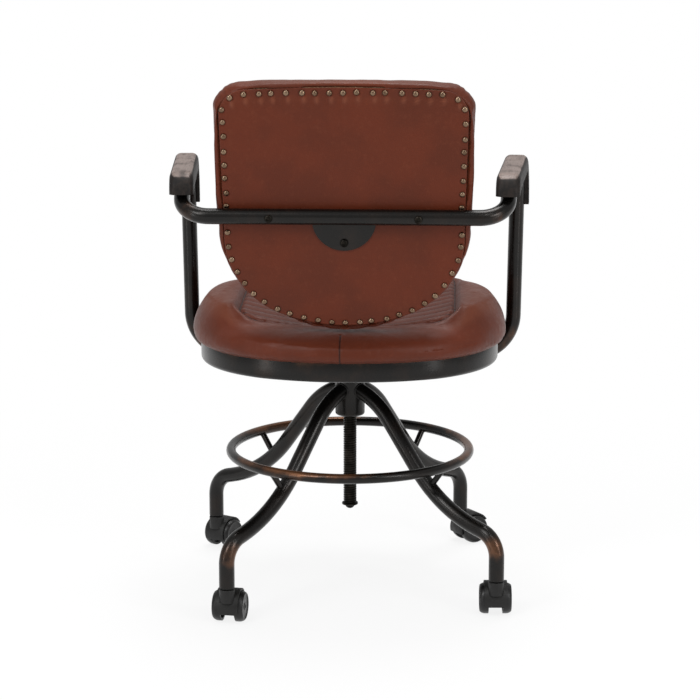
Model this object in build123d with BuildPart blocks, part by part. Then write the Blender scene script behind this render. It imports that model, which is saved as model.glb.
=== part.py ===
from build123d import *
import math
import os

os.makedirs("parts", exist_ok=True)

# Swivel office chair on a screw spindle, with a bent tube frame, a foot ring and twin wheel castors.
# Sizes are in millimetres and angles in degrees. The origin is the spindle axis on the floor.
# The sitter faces +Y and +Z is up. The chair stands at its lowest seat height.

# Shared clearances
running_gap = 0.05
soft_gap = 0.3
rest_gap = 0.3
cut_overrun = 20.0

# Twin wheel castors
wheel_d = 50.0
wheel_w = 14.0
wheel_space = 23.0
wheel_tread_w = 6.0
wheel_rim_d = 42.6
wheel_ring_d = 39.0
wheel_dish_depth = 1.2
wheel_cap_d = 10.0
wheel_hollow_outer_d = 42.0
wheel_hollow_inner_d = 18.0
wheel_hollow_depth = 5.0
axle_d = 6.0
axle_inset = 1.0
castor_trail = 20.0
hood_w = 37.0
hood_wheel_gap = 1.0
hood_wall = 3.0
hood_side_gap = 0.5
hood_heel_rise = 17.0
hood_web_tail = 9.0
hood_tail_angle = 148.0
hood_height = 59.0
collar_d = 25.0
collar_depth = 22.0
collar_edge_r = 1.5
stem_d = 11.0
stem_neck = 2.0
stem_in_hood = 16.0
stem_in_socket = 30.0
stem_tip_r = 1.5
socket_flange = 1.0
socket_h = 34.0

# Base: four bent tube legs round a hub
leg_tube_d = 25.0
leg_tube_wall = 1.8
base_turn = 7.7
leg_names = ("front_right", "front_left", "rear_left", "rear_right")
trail_headings = (57.5, 31.5, 8.5, -2.5)
foot_r = 306.0
knee_z = 130.0
knee_bend_r = 40.0
knee_reach = 114.0
shin_z = 159.0
shin_straight = 8.1
shoulder_r = 56.0
shoulder_z = 324.0
leg_root_r = 10.0
leg_root_z = 335.3
leg_root_straight = 4.3
hub_d = 49.0
hub_bottom_z = 289.0
hub_top_z = 360.0
hub_edge_r = 5.0
hub_shoulder_h = 12.0
hub_relief = 1.0

# Threaded bush in the hub, and the lift screw with its stop
screw_d = 22.0
bush_d = 34.0
bush_flange_d = 44.0
bush_flange_h = 3.0
stop_washer_d = 27.0
stop_washer_h = 4.0
stop_washer_z = 134.0
stop_washer_edge_r = 1.4
stop_bolt_d = 8.0
stop_bolt_head_d = 16.0
stop_bolt_head_h = 7.0
stop_bolt_l = 26.0
screw_pin_d = 6.0

# Foot ring and its four struts
ring_r = 198.5
ring_z = 229.6
ring_bar_d = 16.0
strut_d = 10.0
strut_foot_z = 184.0
strut_foot_in = 7.4

# Seat pan, board and mounting plate
seat_half_w = 244.0
seat_rear = 221.0
seat_front = 205.0
seat_side_rear = 19.9
seat_side_front = 4.1
pan_bottom_z = 390.0
pan_h = 32.0
pan_wall = 2.0
pan_edge_r = 8.0
board_h = 16.0
board_side_gap = 3.0
plate_d = 160.0
plate_h = 5.0
boss_d = 42.0
rib_w = 7.0
rib_reach_share = 0.84
plate_edge_r = 1.5
bolt_circle_d = 116.0
bolt_circle_turn = 45.0
plate_bolt_count = 4
plate_bolt_d = 8.0
plate_bolt_head_d = 15.0
plate_bolt_head_h = 5.0

# Seat cushion: growth past the pan outline and height above the rim, from the rim up to the crown
cushion_root_inset = 6.0
cushion_rise = (0.4, 9.0, 23.0, 44.0, 66.0, 82.0, 91.0)
cushion_grow = (-1.0, 10.5, 12.0, 6.0, -8.0, -25.0, -49.0)
saddle_r = 520.0
saddle_mid_z = 470.5
saddle_slope = 3.4
channel_pitch = 25.0
channel_count = 12
channel_depth = 3.2
channel_half_w = 172.0
channel_rear_y = -150.0

# Arm and back frame: one bent tube
frame_tube_d = 25.0
frame_tube_wall = 2.0
rail_y = -225.0
rail_z = 655.0
arm_z = 693.0
arm_rear_y = -159.0
post_y = 92.0
post_side_gap = 2.0
post_lean = 5.0
back_arm_gap = 36.2
rail_bend_r = 45.0
arm_rear_bend_r = 50.0
arm_front_bend_r = 60.0
post_foot_bend_r = 70.0
frame_end_x = 42.0
cross_run_gap = 3.5
plug_h = 4.0
plug_in = 12.0
strap_x = 110.0
strap_w = 24.0
strap_h = 2.5
strap_foot = 17.0
strap_bolt_d = 6.0
strap_bolt_head_d = 12.0
strap_bolt_head_h = 4.0
strap_bolt_out = 9.0

# Wooden arm pads
pad_w = 38.0
pad_h = 27.0
pad_edge_r = 10.0
pad_rear_in = 11.0
pad_rear_r = 30.0
pad_rear_drop = 7.0
pad_front_drop = 63.0
pad_screw_d = 5.0
pad_screw_head_d = 9.0
pad_screw_head_h = 2.5
pad_screw_bite = 9.0
pad_screw_ys = (-110.0, 0.0)

# Backrest
back_tilt = 7.0
back_half_w = 203.5
back_top = 216.5
back_bottom = 183.0
panel_half_w = 192.5
panel_top = 201.0
panel_bottom = 178.0
panel_h = 2.5
back_board_h = 12.0
back_depths = (0.8, 9.0, 24.0, 38.0, 48.0, 53.0)
back_insets = (7.5, 1.5, 0.0, 4.5, 19.0, 52.0)
half_plate_r = 50.0
half_plate_h = 2.5
half_plate_drop = 7.5
half_plate_screw_drop = 45.0
rail_screw_x = 116.0
back_screw_d = 6.0
back_screw_head_d = 13.0
back_screw_head_h = 4.0
back_screw_edge_r = 1.8
back_screw_slot_d = 6.0
back_screw_slot_h = 1.5
back_screw_bite = 9.0
nail_d = 9.2
nail_rise = 2.7
nail_mid_share = 0.6
nail_mid_rise_share = 0.75
nail_count = 60
nail_half_w = 187.0
nail_top = 193.0
nail_bottom = 174.0

# Sizes that follow from the ones above
wheel_r = wheel_d / 2
axle_r = axle_d / 2
stem_r = stem_d / 2
screw_r = screw_d / 2
leg_tube_r = leg_tube_d / 2
leg_bore_r = leg_tube_r - leg_tube_wall
leg_bottom_z = hood_height + stem_neck + socket_flange
frame_tube_r = frame_tube_d / 2
hood_inner_r = wheel_r + hood_wheel_gap
hood_outer_r = hood_inner_r + hood_wall
bush_top_z = hub_top_z + bush_flange_h
boss_bottom_z = bush_top_z + rest_gap
plate_bottom_z = pan_bottom_z - plate_h
pan_top_z = pan_bottom_z + pan_h
board_bottom_z = pan_bottom_z + pan_wall
board_top_z = board_bottom_z + board_h
screw_bottom_z = stop_washer_z + stop_washer_h
screw_top_z = plate_bottom_z
cross_run_z = pan_bottom_z - cross_run_gap - frame_tube_r
shin_r = foot_r - knee_reach
shin_slope = (shin_r - shoulder_r) / (shoulder_z - shin_z)
strut_foot_r = shoulder_r + (shoulder_z - strut_foot_z) * shin_slope - strut_foot_in
post_foot_x = seat_half_w + max(cushion_grow) + post_side_gap + frame_tube_r
post_top_x = post_foot_x + post_lean
rail_end_x = back_half_w + back_arm_gap + frame_tube_r
arm_splay = math.degrees(math.atan2(post_top_x - rail_end_x, post_y - rail_y))
arm_rear_x = post_top_x - (post_y - arm_rear_y) * math.tan(math.radians(arm_splay))
base_centring = (Align.CENTER, Align.CENTER, Align.MIN)
hanging = (Align.CENTER, Align.CENTER, Align.MAX)


def radial_plane(angle):
    """Upright plane through the spindle axis, its x axis pointing out at the given angle."""
    across = math.radians(angle)
    return Plane(
        origin=(0, 0, 0),
        x_dir=(math.cos(across), math.sin(across), 0),
        z_dir=(math.sin(across), -math.cos(across), 0),
    )


def polar_point(radius, angle, height):
    """Point at a radius, angle and height about the spindle axis."""
    across = math.radians(angle)
    return (radius * math.cos(across), radius * math.sin(across), height)


def bend_share(before, corner, after):
    """Length of tube that a bend takes up on each side of its corner, as a share of its radius."""
    incoming = Vector(*corner) - Vector(*before)
    outgoing = Vector(*after) - Vector(*corner)
    return math.tan(math.radians(incoming.get_angle(outgoing)) / 2)


def save(part, name):
    """Label one finished sub-part and write it."""
    part.label = name
    export_step(part, "parts/" + name + ".step")


# Hub: a turned sleeve with a shoulder under the bush
with BuildPart() as base_hub:
    with Locations((0, 0, hub_bottom_z)):
        Cylinder(hub_d / 2, hub_top_z - hub_bottom_z, align=base_centring)
    fillet(base_hub.edges().filter_by(GeomType.CIRCLE).sort_by(Axis.Z)[0], hub_edge_r)
    with Locations((0, 0, hub_bottom_z + hub_shoulder_h)):
        Cylinder(bush_d / 2, hub_top_z - hub_bottom_z, align=base_centring, mode=Mode.SUBTRACT)
    with Locations((0, 0, hub_bottom_z)):
        Cylinder(screw_r + hub_relief, hub_shoulder_h, align=base_centring, mode=Mode.SUBTRACT)
save(base_hub.part, "base_hub")

# Threaded bush: pressed into the hub, its flange on the hub's top face
with BuildPart() as hub_bush:
    with Locations((0, 0, hub_bottom_z + hub_shoulder_h)):
        Cylinder(bush_d / 2, hub_top_z - hub_bottom_z - hub_shoulder_h, align=base_centring)
    with Locations((0, 0, hub_top_z)):
        Cylinder(bush_flange_d / 2, bush_flange_h, align=base_centring)
    with Locations((0, 0, hub_bottom_z)):
        Cylinder(screw_r + running_gap, bush_top_z - hub_bottom_z, align=base_centring, mode=Mode.SUBTRACT)
save(hub_bush.part, "hub_bush")

# Foot ring: a round bar bent to a circle
with BuildPart() as foot_ring:
    with Locations((0, 0, ring_z)):
        Torus(ring_r, ring_bar_d / 2)
save(foot_ring.part, "foot_ring")

# Leg route in its own plane: the two long bends take the tube that their neighbours leave
leg_points = [
    (leg_root_r, leg_root_z),
    (shoulder_r, shoulder_z),
    (shin_r, shin_z),
    (foot_r, knee_z),
    (foot_r, leg_bottom_z),
]
root_run = (Vector(*leg_points[1]) - Vector(*leg_points[0])).length
shin_run = (Vector(*leg_points[3]) - Vector(*leg_points[2])).length
knee_take = knee_bend_r * bend_share(*leg_points[2:5])
shoulder_bend_r = (root_run - leg_root_straight) / bend_share(*leg_points[0:3])
shin_bend_r = (shin_run - knee_take - shin_straight) / bend_share(*leg_points[1:4])

# Legs, ring struts, castor sockets and castors, one set for each corner of the base
for corner, leg_name in enumerate(leg_names):
    leg_angle = base_turn + 360 / len(leg_names) * (corner + 0.5)
    foot_x, foot_y, foot_z = polar_point(foot_r, leg_angle, leg_bottom_z)

    # Leg: a bent tube, coped to the hub at its top end and open at its foot
    with BuildPart() as leg:
        with BuildLine(radial_plane(leg_angle)) as leg_line:
            FilletPolyline(*leg_points, radius=[shoulder_bend_r, shin_bend_r, knee_bend_r])
        with BuildSketch(Plane(origin=leg_line.line @ 0, z_dir=leg_line.line % 0)):
            Circle(leg_tube_r)
            Circle(leg_bore_r, mode=Mode.SUBTRACT)
        sweep()
        with Locations((0, 0, hub_bottom_z)):
            Cylinder(hub_d / 2, hub_top_z - hub_bottom_z, align=base_centring, mode=Mode.SUBTRACT)
    save(leg.part, "leg_" + leg_name)

    # Solid copy of the leg, for coping the strut
    with BuildPart() as leg_core:
        with BuildSketch(Plane(origin=leg_line.line @ 0, z_dir=leg_line.line % 0)):
            Circle(leg_tube_r)
        sweep(path=leg_line.line)

    # Ring strut: a short rod from the ring down to the leg, coped at both ends
    strut_top = Vector(*polar_point(ring_r, leg_angle, ring_z))
    strut_foot = Vector(*polar_point(strut_foot_r, leg_angle, strut_foot_z))
    with BuildPart() as ring_strut:
        with BuildSketch(Plane(origin=strut_foot, z_dir=strut_top - strut_foot)):
            Circle(strut_d / 2)
        extrude(amount=(strut_top - strut_foot).length)
        add(leg_core.part, mode=Mode.SUBTRACT)
        add(foot_ring.part, mode=Mode.SUBTRACT)
    save(ring_strut.part, "ring_strut_" + leg_name)

    # Castor socket: a sleeve pressed into the foot of the leg
    with BuildPart() as socket:
        with Locations((foot_x, foot_y, leg_bottom_z)):
            Cylinder(leg_bore_r, socket_h, align=base_centring)
            Cylinder(leg_tube_r, socket_flange, align=hanging)
        with Locations((foot_x, foot_y, leg_bottom_z - socket_flange)):
            Cylinder(stem_r + running_gap, socket_h + socket_flange, align=base_centring, mode=Mode.SUBTRACT)
    save(socket.part, "castor_socket_" + leg_name)

    # The castor's own plane: origin at the axle's middle, x towards the stem, y up
    heading = math.radians(trail_headings[corner])
    trail_x = math.sin(heading)
    trail_y = math.cos(heading)
    castor_plane = Plane(
        origin=(foot_x + castor_trail * trail_x, foot_y + castor_trail * trail_y, wheel_r),
        x_dir=(-trail_x, -trail_y, 0),
        z_dir=(-trail_y, trail_x, 0),
    )

    # Hood: a web between the wheels, a band over them and a collar for the stem
    heel_y = hood_heel_rise - wheel_r
    heel_angle = math.degrees(math.asin(heel_y / hood_outer_r))
    inner_heel_angle = math.degrees(math.asin(heel_y / hood_inner_r))
    inner_sweep = hood_tail_angle - inner_heel_angle
    with BuildPart() as hood:
        with BuildSketch(castor_plane) as web_profile:
            with BuildLine():
                web_arc = CenterArc((0, 0), hood_outer_r, heel_angle, hood_tail_angle - heel_angle)
                Polyline(web_arc @ 1, (-hood_web_tail, heel_y), web_arc @ 0)
            make_face()
        extrude(amount=wheel_space / 2 - hood_side_gap, both=True)
        with BuildSketch(castor_plane) as band_profile:
            with BuildLine():
                outer_arc = CenterArc((0, 0), hood_outer_r, heel_angle, hood_tail_angle - heel_angle)
                inner_arc = CenterArc((0, 0), hood_inner_r, inner_heel_angle, inner_sweep)
                Line(outer_arc @ 0, inner_arc @ 0)
                Line(outer_arc @ 1, inner_arc @ 1)
            make_face()
        extrude(amount=hood_w / 2, both=True)
        with Locations((foot_x, foot_y, hood_height)):
            Cylinder(collar_d / 2, collar_depth, align=hanging)
        fillet(hood.edges().filter_by(GeomType.CIRCLE).sort_by(Axis.Z)[-1], collar_edge_r)
        with BuildSketch(
            castor_plane.offset(wheel_space / 2 - hood_side_gap),
            castor_plane.offset(hood_side_gap - wheel_space / 2 - wheel_w),
        ):
            Circle(hood_inner_r)
        extrude(amount=wheel_w, mode=Mode.SUBTRACT)
        with BuildSketch(castor_plane):
            Circle(axle_r)
        extrude(amount=wheel_space, both=True, mode=Mode.SUBTRACT)
        with Locations((foot_x, foot_y, hood_height)):
            Cylinder(stem_r, stem_in_hood, align=hanging, mode=Mode.SUBTRACT)
    save(hood.part, "castor_hood_" + leg_name)

    # Stem: pressed into the hood, turning in the socket
    with BuildPart() as stem:
        with Locations((foot_x, foot_y, hood_height - stem_in_hood)):
            Cylinder(stem_r, stem_in_hood + stem_neck + socket_flange + stem_in_socket, align=base_centring)
        fillet(stem.edges().filter_by(GeomType.CIRCLE).sort_by(Axis.Z)[-1], stem_tip_r)
    save(stem.part, "castor_stem_" + leg_name)

    # Axle: a plain pin through the hood's web, one wheel running on each end
    with BuildPart() as axle:
        with BuildSketch(castor_plane):
            Circle(axle_r)
        extrude(amount=wheel_space / 2 + wheel_w - axle_inset, both=True)
    save(axle.part, "castor_axle_" + leg_name)

    # Wheels: barrel edged discs, dished outside and hollow inside
    for side, side_name in ((1, "left"), (-1, "right")):
        with BuildPart() as wheel:
            with BuildSketch(Plane.XZ) as wheel_profile:
                with BuildLine():
                    tread = Polyline(
                        (wheel_hollow_outer_d / 2, wheel_hollow_depth),
                        (wheel_hollow_outer_d / 2, 0),
                        (wheel_r, 0),
                        (wheel_r, wheel_tread_w),
                    )
                    barrel = TangentArc(tread @ 1, (wheel_rim_d / 2, wheel_w), tangent=(0, 1))
                    Polyline(
                        barrel @ 1,
                        (wheel_ring_d / 2, wheel_w),
                        (wheel_ring_d / 2 - wheel_dish_depth, wheel_w - wheel_dish_depth),
                        (wheel_cap_d / 2, wheel_w - wheel_dish_depth),
                        (wheel_cap_d / 2, wheel_w),
                        (axle_r + running_gap, wheel_w),
                        (axle_r + running_gap, 0),
                        (wheel_hollow_inner_d / 2, 0),
                        (wheel_hollow_inner_d / 2, wheel_hollow_depth),
                        (wheel_hollow_outer_d / 2, wheel_hollow_depth),
                    )
                make_face()
            revolve(axis=Axis.Z)
        wheel_plane = Plane(
            origin=castor_plane.origin + castor_plane.z_dir * side * wheel_space / 2,
            x_dir=castor_plane.x_dir,
            z_dir=castor_plane.z_dir * side,
        )
        save(wheel_plane.location * wheel.part, "castor_wheel_" + side_name + "_" + leg_name)

# Lift screw: it turns with the seat and climbs in the bush; its thread is left plain here
with BuildPart() as lift_screw:
    with Locations((0, 0, screw_bottom_z)):
        Cylinder(screw_r, screw_top_z - screw_bottom_z, align=base_centring)
        Cylinder(stop_bolt_d / 2, stop_bolt_l - stop_washer_h, align=base_centring, mode=Mode.SUBTRACT)
    pin_z = (boss_bottom_z + plate_bottom_z) / 2
    with BuildSketch(Plane.YZ):
        with Locations((0, pin_z)):
            Circle(screw_pin_d / 2)
    extrude(amount=screw_r + cut_overrun, both=True, mode=Mode.SUBTRACT)
save(lift_screw.part, "lift_screw")

# Stop washer: loose on its bolt under the screw, it meets the hub when the seat is fully raised
with BuildPart() as stop_washer:
    with Locations((0, 0, stop_washer_z)):
        Cylinder(stop_washer_d / 2, stop_washer_h, align=base_centring)
    fillet(stop_washer.edges().filter_by(GeomType.CIRCLE), stop_washer_edge_r)
    with Locations((0, 0, stop_washer_z)):
        Cylinder(stop_bolt_d / 2 + running_gap, stop_washer_h, align=base_centring, mode=Mode.SUBTRACT)
save(stop_washer.part, "stop_washer")

# Stop bolt: a round head under the washer
with BuildPart() as stop_bolt:
    with BuildSketch(Plane.XZ):
        with BuildLine():
            dome_start = (stop_bolt_head_d / 2, stop_washer_z)
            dome = TangentArc(
                (0, stop_washer_z - stop_bolt_head_h), dome_start, tangent=(1, 0)
            )
            Polyline(
                dome_start,
                (stop_bolt_d / 2, stop_washer_z),
                (stop_bolt_d / 2, stop_washer_z + stop_bolt_l),
                (0, stop_washer_z + stop_bolt_l),
                (0, stop_washer_z - stop_bolt_head_h),
            )
        make_face()
    revolve(axis=Axis.Z)
save(stop_bolt.part, "stop_bolt")

# Seat plate: a cast flange with a boss and four ribs
with BuildPart() as seat_plate:
    with Locations((0, 0, plate_bottom_z)):
        Cylinder(plate_d / 2, plate_h, align=base_centring)
        Cylinder(boss_d / 2, plate_bottom_z - boss_bottom_z, align=hanging)
    for rib in range(plate_bolt_count):
        with BuildSketch(radial_plane(360 / plate_bolt_count * rib)):
            Polygon(
                (0, boss_bottom_z + plate_edge_r),
                (boss_d / 2, boss_bottom_z + plate_edge_r),
                (plate_d / 2 * rib_reach_share, plate_bottom_z),
                (0, plate_bottom_z),
                align=None,
            )
        extrude(amount=rib_w / 2, both=True)
    with Locations((0, 0, boss_bottom_z)):
        Cylinder(screw_r, screw_top_z - boss_bottom_z, align=base_centring, mode=Mode.SUBTRACT)
    with BuildSketch(Plane.YZ):
        with Locations((0, pin_z)):
            Circle(screw_pin_d / 2)
    extrude(amount=boss_d / 2, both=True, mode=Mode.SUBTRACT)
    with Locations((0, 0, plate_bottom_z)):
        with PolarLocations(bolt_circle_d / 2, plate_bolt_count, bolt_circle_turn):
            Cylinder(plate_bolt_d / 2, plate_h, align=base_centring, mode=Mode.SUBTRACT)
save(seat_plate.part, "seat_plate")

# Cross pin that locks the screw in the plate's boss
with BuildPart() as screw_pin:
    with BuildSketch(Plane.YZ):
        with Locations((0, pin_z)):
            Circle(screw_pin_d / 2)
    extrude(amount=boss_d / 2, both=True)
save(screw_pin.part, "screw_pin")

# Plate bolts: round heads under the plate, shanks up into the seat board
with BuildPart() as plate_bolts:
    with Locations((0, 0, plate_bottom_z)):
        with PolarLocations(bolt_circle_d / 2, plate_bolt_count, bolt_circle_turn):
            Cylinder(plate_bolt_head_d / 2, plate_bolt_head_h, align=hanging)
            Cylinder(plate_bolt_d / 2, board_top_z - plate_bottom_z, align=base_centring)
save(plate_bolts.part, "plate_bolts")

# Seat outline: straight sides, tangent corner arcs and one long arc behind and before
rear_corner_share = 0.866
front_corner_share = 0.934


def seat_end(half, depth, side_reach, corner_r, sense):
    """Half of the seat's rear or front end, from the straight side to the middle."""
    corner_x = half - corner_r
    rise = depth - side_reach
    long_r = (corner_x**2 + rise**2 - corner_r**2) / (2 * (rise - corner_r))
    long_y = depth - long_r
    lean = math.atan2(corner_x, side_reach - long_y)
    join = (long_r * math.sin(lean), sense * (long_y + long_r * math.cos(lean)))
    half_lean = lean / 2
    corner_lean = (math.pi / 2 + lean) / 2
    corner_out = corner_r * math.sin(corner_lean)
    corner_along = corner_r * math.cos(corner_lean)
    ThreePointArc(
        (half, sense * side_reach),
        (corner_x + corner_out, sense * (side_reach + corner_along)),
        join,
    )
    ThreePointArc(
        join,
        (long_r * math.sin(half_lean), sense * (long_y + long_r * math.cos(half_lean))),
        (0, sense * depth),
    )


def seat_outline(grow):
    """Closed plan outline of the seat, grown all round by the given amount."""
    half = seat_half_w + grow
    rear_corner_r = seat_rear * rear_corner_share + grow
    front_corner_r = seat_front * front_corner_share + grow
    with BuildLine() as outline:
        seat_end(half, seat_rear + grow, seat_side_rear, rear_corner_r, -1)
        seat_end(half, seat_front + grow, seat_side_front, front_corner_r, 1)
        Line((half, -seat_side_rear), (half, seat_side_front))
        mirror(about=Plane.YZ)
    make_face(outline.edges())


bolt_ring = bolt_circle_d / 2
strap_bolt_offset = frame_tube_r + strap_h + strap_bolt_out
strap_bolt_points = [
    (side * strap_x, post_y + lean * strap_bolt_offset) for side in (-1, 1) for lean in (-1, 1)
]

# Seat pan: a pressed steel dish
with BuildPart() as seat_pan:
    with BuildSketch(Plane.XY.offset(pan_bottom_z)):
        seat_outline(0)
    extrude(amount=pan_h)
    fillet(seat_pan.faces().sort_by(Axis.Z)[0].edges(), pan_edge_r)
    offset(amount=-pan_wall, openings=seat_pan.faces().sort_by(Axis.Z)[-1])
    with Locations((0, 0, pan_bottom_z)):
        with PolarLocations(bolt_ring, plate_bolt_count, bolt_circle_turn):
            Cylinder(plate_bolt_d / 2, pan_wall, align=base_centring, mode=Mode.SUBTRACT)
        with Locations(*strap_bolt_points):
            Cylinder(strap_bolt_d / 2, pan_wall, align=base_centring, mode=Mode.SUBTRACT)
save(seat_pan.part, "seat_pan")

# Seat board: plywood, lying in the pan
with BuildPart() as seat_board:
    with BuildSketch(Plane.XY.offset(board_bottom_z)):
        seat_outline(-pan_edge_r - board_side_gap)
    extrude(amount=board_h)
    with Locations((0, 0, board_bottom_z)):
        with PolarLocations(bolt_ring, plate_bolt_count, bolt_circle_turn):
            Cylinder(plate_bolt_d / 2, board_h, align=base_centring, mode=Mode.SUBTRACT)
        with Locations(*strap_bolt_points):
            Cylinder(strap_bolt_d / 2, board_h, align=base_centring, mode=Mode.SUBTRACT)
save(seat_board.part, "seat_board")

# Seat cushion: a plug inside the rim, a bulged and crowned body over it, a saddle and sewn channels
with BuildPart() as seat_cushion:
    for rise, grow in zip(cushion_rise, cushion_grow):
        with BuildSketch(Plane.XY.offset(pan_top_z + rise)):
            seat_outline(grow)
    loft()
    with BuildSketch(Plane.XY.offset(board_top_z)):
        seat_outline(-cushion_root_inset)
    extrude(amount=pan_top_z + cushion_rise[1] - board_top_z)
    saddle_tilt = math.radians(saddle_slope)
    saddle_axis = Vector(0, math.cos(saddle_tilt), math.sin(saddle_tilt))
    saddle_up = Vector(0, -math.sin(saddle_tilt), math.cos(saddle_tilt))
    saddle_centre = Vector(0, 0, saddle_mid_z) + saddle_up * saddle_r
    saddle_plane = Plane(origin=saddle_centre, x_dir=(1, 0, 0), z_dir=saddle_axis)
    with BuildSketch(saddle_plane):
        Circle(saddle_r)
    extrude(amount=seat_rear + seat_front, both=True, mode=Mode.SUBTRACT)

# Channel cutter: a scalloped roller about the saddle's axis, trimmed to the width of the inset panel
with BuildPart() as channel_cutter:
    roller_plane = Plane(origin=saddle_centre, x_dir=saddle_axis, z_dir=(1, 0, 0))
    with BuildSketch(roller_plane):
        with BuildLine():
            for channel in range(channel_count):
                start = channel_rear_y + channel * channel_pitch
                ThreePointArc(
                    (start, -saddle_r - channel_depth),
                    (start + channel_pitch / 2, -saddle_r),
                    (start + channel_pitch, -saddle_r - channel_depth),
                )
            channel_end_y = channel_rear_y + channel_count * channel_pitch
            Polyline(
                (channel_end_y, -saddle_r - channel_depth),
                (channel_end_y, 0),
                (channel_rear_y, 0),
                (channel_rear_y, -saddle_r - channel_depth),
            )
        make_face()
    revolve(axis=Axis(saddle_centre, saddle_axis))
    with Locations((0, 0, saddle_mid_z)):
        Box(
            channel_half_w * 2,
            (seat_rear + seat_front) * 2,
            pan_h * 4,
            mode=Mode.INTERSECT,
        )

with BuildPart() as seat_cushion_sewn:
    add(seat_cushion.part)
    add(channel_cutter.part, mode=Mode.SUBTRACT)
save(seat_cushion_sewn.part, "seat_cushion")

# Back plane: on the rear face of the backrest, x across, y up and z to the rear
tilt = math.radians(back_tilt)
rear_normal = Vector(0, -math.cos(tilt), -math.sin(tilt))
rail_axis_offset = frame_tube_r + soft_gap
back_origin = Vector(0, rail_y, rail_z) - rear_normal * rail_axis_offset
back_plane = Plane(origin=back_origin, x_dir=(1, 0, 0), z_dir=rear_normal)

# Back outline, as shares of the half width and of the heights above and below the rail
bottom_arc_x_share = 0.491
bottom_arc_y_share = 0.907
low_corner_x_share = 0.762
low_corner_y_share = 0.732
side_low_x_share = 0.973
side_low_y_share = 0.137
side_top_y_share = 0.794
top_corner_x_share = 0.958
top_corner_y_share = 0.898
top_arc_x_share = 0.811
top_arc_y_share = 0.979


def back_outline(half, top, bottom):
    """Closed outline of the backrest in its own plane, for a half width and two heights."""
    with BuildLine() as right_half:
        ThreePointArc(
            (half * bottom_arc_x_share, -bottom * bottom_arc_y_share),
            (half * low_corner_x_share, -bottom * low_corner_y_share),
            (half * side_low_x_share, -bottom * side_low_y_share),
        )
        Line((half * side_low_x_share, -bottom * side_low_y_share), (half, top * side_top_y_share))
        ThreePointArc(
            (half, top * side_top_y_share),
            (half * top_corner_x_share, top * top_corner_y_share),
            (half * top_arc_x_share, top * top_arc_y_share),
        )
        mirror(about=Plane.YZ)
        ThreePointArc(
            (-half * bottom_arc_x_share, -bottom * bottom_arc_y_share),
            (0, -bottom),
            (half * bottom_arc_x_share, -bottom * bottom_arc_y_share),
        )
        ThreePointArc(
            (half * top_arc_x_share, top * top_arc_y_share),
            (0, top),
            (-half * top_arc_x_share, top * top_arc_y_share),
        )
    return right_half


def round_head_screw(head_seat, bite):
    """Screw along the back's normal: head on the given plane, shank forward from it."""
    with BuildPart() as screw:
        with BuildSketch(head_seat):
            Circle(back_screw_head_d / 2)
        extrude(amount=back_screw_head_h)
        fillet(screw.edges().sort_by(Axis(head_seat.origin, head_seat.z_dir))[-1], back_screw_edge_r)
        with BuildSketch(head_seat.offset(back_screw_head_h)):
            Circle(back_screw_slot_d / 2)
        extrude(amount=-back_screw_slot_h, mode=Mode.SUBTRACT)
        with BuildSketch(head_seat):
            Circle(back_screw_d / 2)
        extrude(amount=-bite)
    return screw.part


# Back screws: two through the rail and one through the half-round plate, all into the back board
rail_head_plane = back_plane.offset(rail_axis_offset + frame_tube_r)
plate_head_plane = back_plane.offset(half_plate_h)
with BuildPart() as back_screws:
    for side in (-1, 1):
        screw_seat = Plane(
            origin=rail_head_plane.origin + rail_head_plane.x_dir * side * rail_screw_x,
            x_dir=rail_head_plane.x_dir,
            z_dir=rail_head_plane.z_dir,
        )
        add(round_head_screw(screw_seat, rail_axis_offset + frame_tube_r + panel_h + back_screw_bite))
    screw_seat = Plane(
        origin=plate_head_plane.origin - plate_head_plane.y_dir * half_plate_screw_drop,
        x_dir=plate_head_plane.x_dir,
        z_dir=plate_head_plane.z_dir,
    )
    add(round_head_screw(screw_seat, half_plate_h + panel_h + back_screw_bite))
save(back_screws.part, "back_screws")

# Back panel: the flat leather rear face
with BuildPart() as back_panel:
    with BuildSketch(back_plane.offset(-panel_h)):
        make_face(back_outline(panel_half_w, panel_top, panel_bottom).edges())
    extrude(amount=panel_h)
    add(back_screws.part, mode=Mode.SUBTRACT)
save(back_panel.part, "back_panel")

# Back board: plywood behind the padding
with BuildPart() as back_board:
    with BuildSketch(back_plane.offset(-panel_h - back_board_h)):
        board_outline = back_outline(panel_half_w - soft_gap, panel_top - soft_gap, panel_bottom - soft_gap)
        make_face(board_outline.edges())
    extrude(amount=back_board_h)
    add(back_screws.part, mode=Mode.SUBTRACT)
save(back_board.part, "back_board")

# Back cushion: a crowned pad with drawn in edges, wrapped round the board
with BuildPart() as back_cushion:
    for depth, inset in zip(back_depths, back_insets):
        with BuildSketch(back_plane.offset(-depth)):
            make_face(back_outline(back_half_w - inset, back_top - inset, back_bottom - inset).edges())
    loft()
    with BuildSketch(back_plane.offset(-panel_h - back_board_h)):
        make_face(back_outline(panel_half_w, panel_top, panel_bottom).edges())
    extrude(amount=panel_h + back_board_h, mode=Mode.SUBTRACT)
save(back_cushion.part, "back_cushion")

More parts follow.
